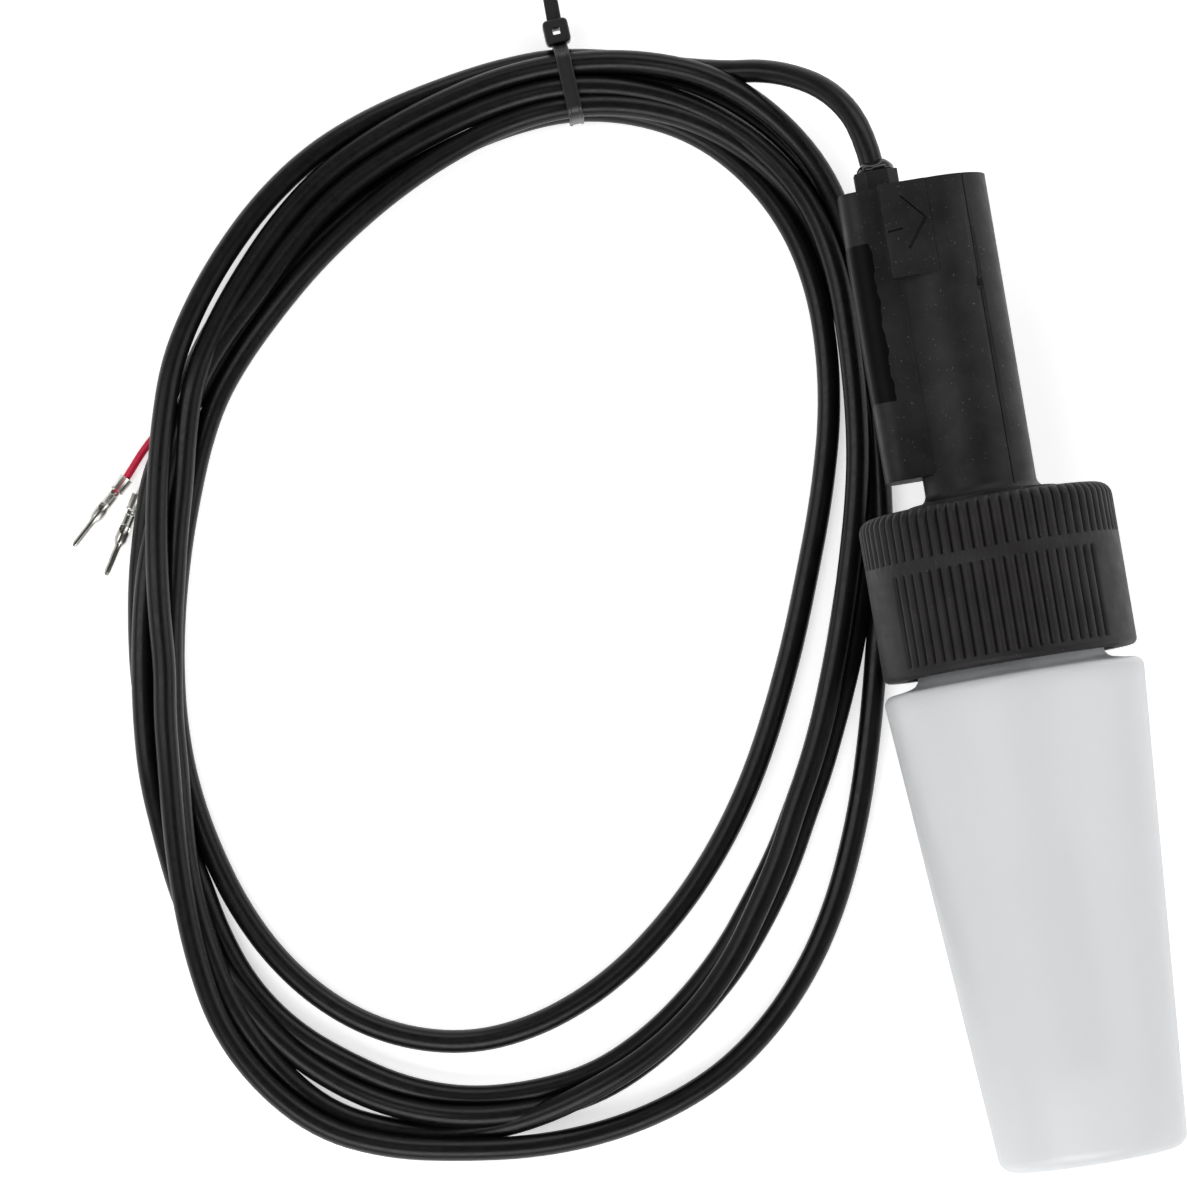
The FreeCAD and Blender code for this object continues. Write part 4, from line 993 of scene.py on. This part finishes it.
def make_painted_shade_sheet():
    """Painted shade: a near-black sheet over the box's corner, with a ragged edge like a shadow's."""
    sections = []
    for step in range(SHADE_SHEET_STEPS + 1):
        share = step / SHADE_SHEET_STEPS
        edge = SHADE_SHEET_EDGE + waves(share, SHADE_SHEET_WAVES)
        fade = min(1.0, share / SHADE_SHEET_FADE, (1 - share) / SHADE_SHEET_FADE)
        sides = []
        for reach in (BOX_ROUND + SHADE_SHEET_PROUD * fade, BOX_ROUND - SHADE_SHEET_DEPTH):
            round_part = arc(BOX_CORNER, reach, 90, 180, CORNER_STEPS)
            sides.append([(round_part[0][0] + edge, round_part[0][1]), *round_part,
                          (round_part[-1][0], SHADE_SHEET_LOW)])
        outer, inner = sides
        height = SHADE_SHEET_FOOT + SHADE_SHEET_LENGTH * share
        sections.append([on_axis(x, height, z) for x, z in outer + inner[::-1]])
    shade_sheet = sweep("painted_shade_sheet", sections, smooth_angle=50)
    return finish_piece(shade_sheet, "housing", "epoxy")


# Table: its size, colour and finish, and its own glow near the object and far from it
TABLE_HALF = 3.0
TABLE_TONE = (0.86, 0.86, 0.865, 1)
TABLE_ROUGHNESS = 0.6
GLOW_SPAN = (0.3, 1.2)
GLOW_NEAR = 0.55
GLOW_FAR = 1.1
# Sky: its strength near the horizon and overhead, by the height that a ray points at
SKY_SPAN = (0.05, 0.8)
SKY_LOW = 0.5
SKY_HIGH = 0.06


def maths(tree, operation, *values):
    """A node of maths on sockets."""
    node = tree.nodes.new("ShaderNodeMath")
    node.operation = operation
    for value, socket in zip(values, node.inputs):
        tree.links.new(value, socket)
    return node.outputs[0]


def spread(tree, source, span, low, high):
    """A value that goes from low to high as the source crosses a span."""
    node = tree.nodes.new("ShaderNodeMapRange")
    node.inputs["From Min"].default_value, node.inputs["From Max"].default_value = span
    node.inputs["To Min"].default_value = low
    node.inputs["To Max"].default_value = high
    tree.links.new(source, node.inputs["Value"])
    return node.outputs["Result"]


def make_stage():
    """A white table that keeps the object's shadow."""
    material, tree, shader = node_material("table_top")
    shader.inputs["Base Color"].default_value = TABLE_TONE
    shader.inputs["Roughness"].default_value = TABLE_ROUGHNESS
    path = tree.nodes.new("ShaderNodeLightPath")
    through = maths(tree, "MAXIMUM", path.outputs["Is Transmission Ray"], path.outputs["Is Glossy Ray"])
    seen = maths(tree, "MAXIMUM", path.outputs["Is Camera Ray"], through)
    where = tree.nodes.new("ShaderNodeTexCoord")
    away = tree.nodes.new("ShaderNodeVectorMath")
    away.operation = "LENGTH"
    tree.links.new(where.outputs["Object"], away.inputs[0])
    level = spread(tree, away.outputs["Value"], GLOW_SPAN, GLOW_NEAR, GLOW_FAR)
    glow = tree.nodes.new("ShaderNodeEmission")
    glow.inputs["Color"].default_value = (1, 1, 1, 1)
    tree.links.new(maths(tree, "MULTIPLY", seen, level), glow.inputs["Strength"])
    both = tree.nodes.new("ShaderNodeAddShader")
    output = tree.nodes["Material Output"]
    tree.links.new(shader.outputs["BSDF"], both.inputs[0])
    tree.links.new(glow.outputs["Emission"], both.inputs[1])
    tree.links.new(both.outputs[0], output.inputs["Surface"])
    half = TABLE_HALF
    corners = [(-half, -half, 0), (half, -half, 0), (half, half, 0), (-half, half, 0)]
    table = add_mesh("table_top", corners, [(0, 1, 2, 3)])
    table.data.materials.append(material)


def make_world():
    """A white sky that the camera sees in full, and that lights the object mostly from the sides."""
    world = bpy.data.worlds.new("studio")
    bpy.context.scene.world = world
    world.use_nodes = True
    tree = world.node_tree
    background = tree.nodes["Background"]
    background.inputs["Color"].default_value = (1, 1, 1, 1)
    where = tree.nodes.new("ShaderNodeTexCoord")
    parts = tree.nodes.new("ShaderNodeSeparateXYZ")
    tree.links.new(where.outputs["Generated"], parts.inputs[0])
    level = spread(tree, parts.outputs["Z"], SKY_SPAN, SKY_LOW, SKY_HIGH)
    path = tree.nodes.new("ShaderNodeLightPath")
    strength = maths(tree, "MAXIMUM", path.outputs["Is Camera Ray"], level)
    tree.links.new(strength, background.inputs["Strength"])


def make_lights():
    """Four softboxes: behind, in front, right and left of the object."""
    make_light("back_softbox", (0.3, 0.6, 0.5), (0.9, 0.4), 2.6)
    make_light("front_softbox", (-0.2, -0.62, 0.55), (0.9, 0.4), 4.9)
    make_light("right_softbox", (0.75, 0.0, 0.45), (0.4, 0.9), 2.0)
    make_light("left_strip", (-0.48, 0.15, 0.66), (0.25, 0.8), 2.0)


make_camera()
dress_nodes()
lead = add_cord("lead", lead_points(), CABLE * MM)
finish_piece(lead, "housing", "cable_jacket", ("lead_run", "lead_coil"))
make_nut()
make_cup()
tie = make_tie()
ends = [
    make_core("red_insulated_core", RED_ROUTE, RED_TIP, "red_insulation", "red_core"),
    make_core("white_insulated_core", WHITE_ROUTE, WHITE_TIP, "white_insulation", "white_core"),
    make_contact("red_contact", RED_ROUTE, RED_TIP, "red_terminal"),
    make_contact("white_contact", WHITE_ROUTE, WHITE_TIP, "white_terminal"),
]
bead = make_sealant()
mark_housing()
# Painted shade on the reed box's outer corner
make_painted_shade_sheet()
make_stage()
make_world()
make_lights()
bpy.context.scene.view_settings.view_transform = "Standard"
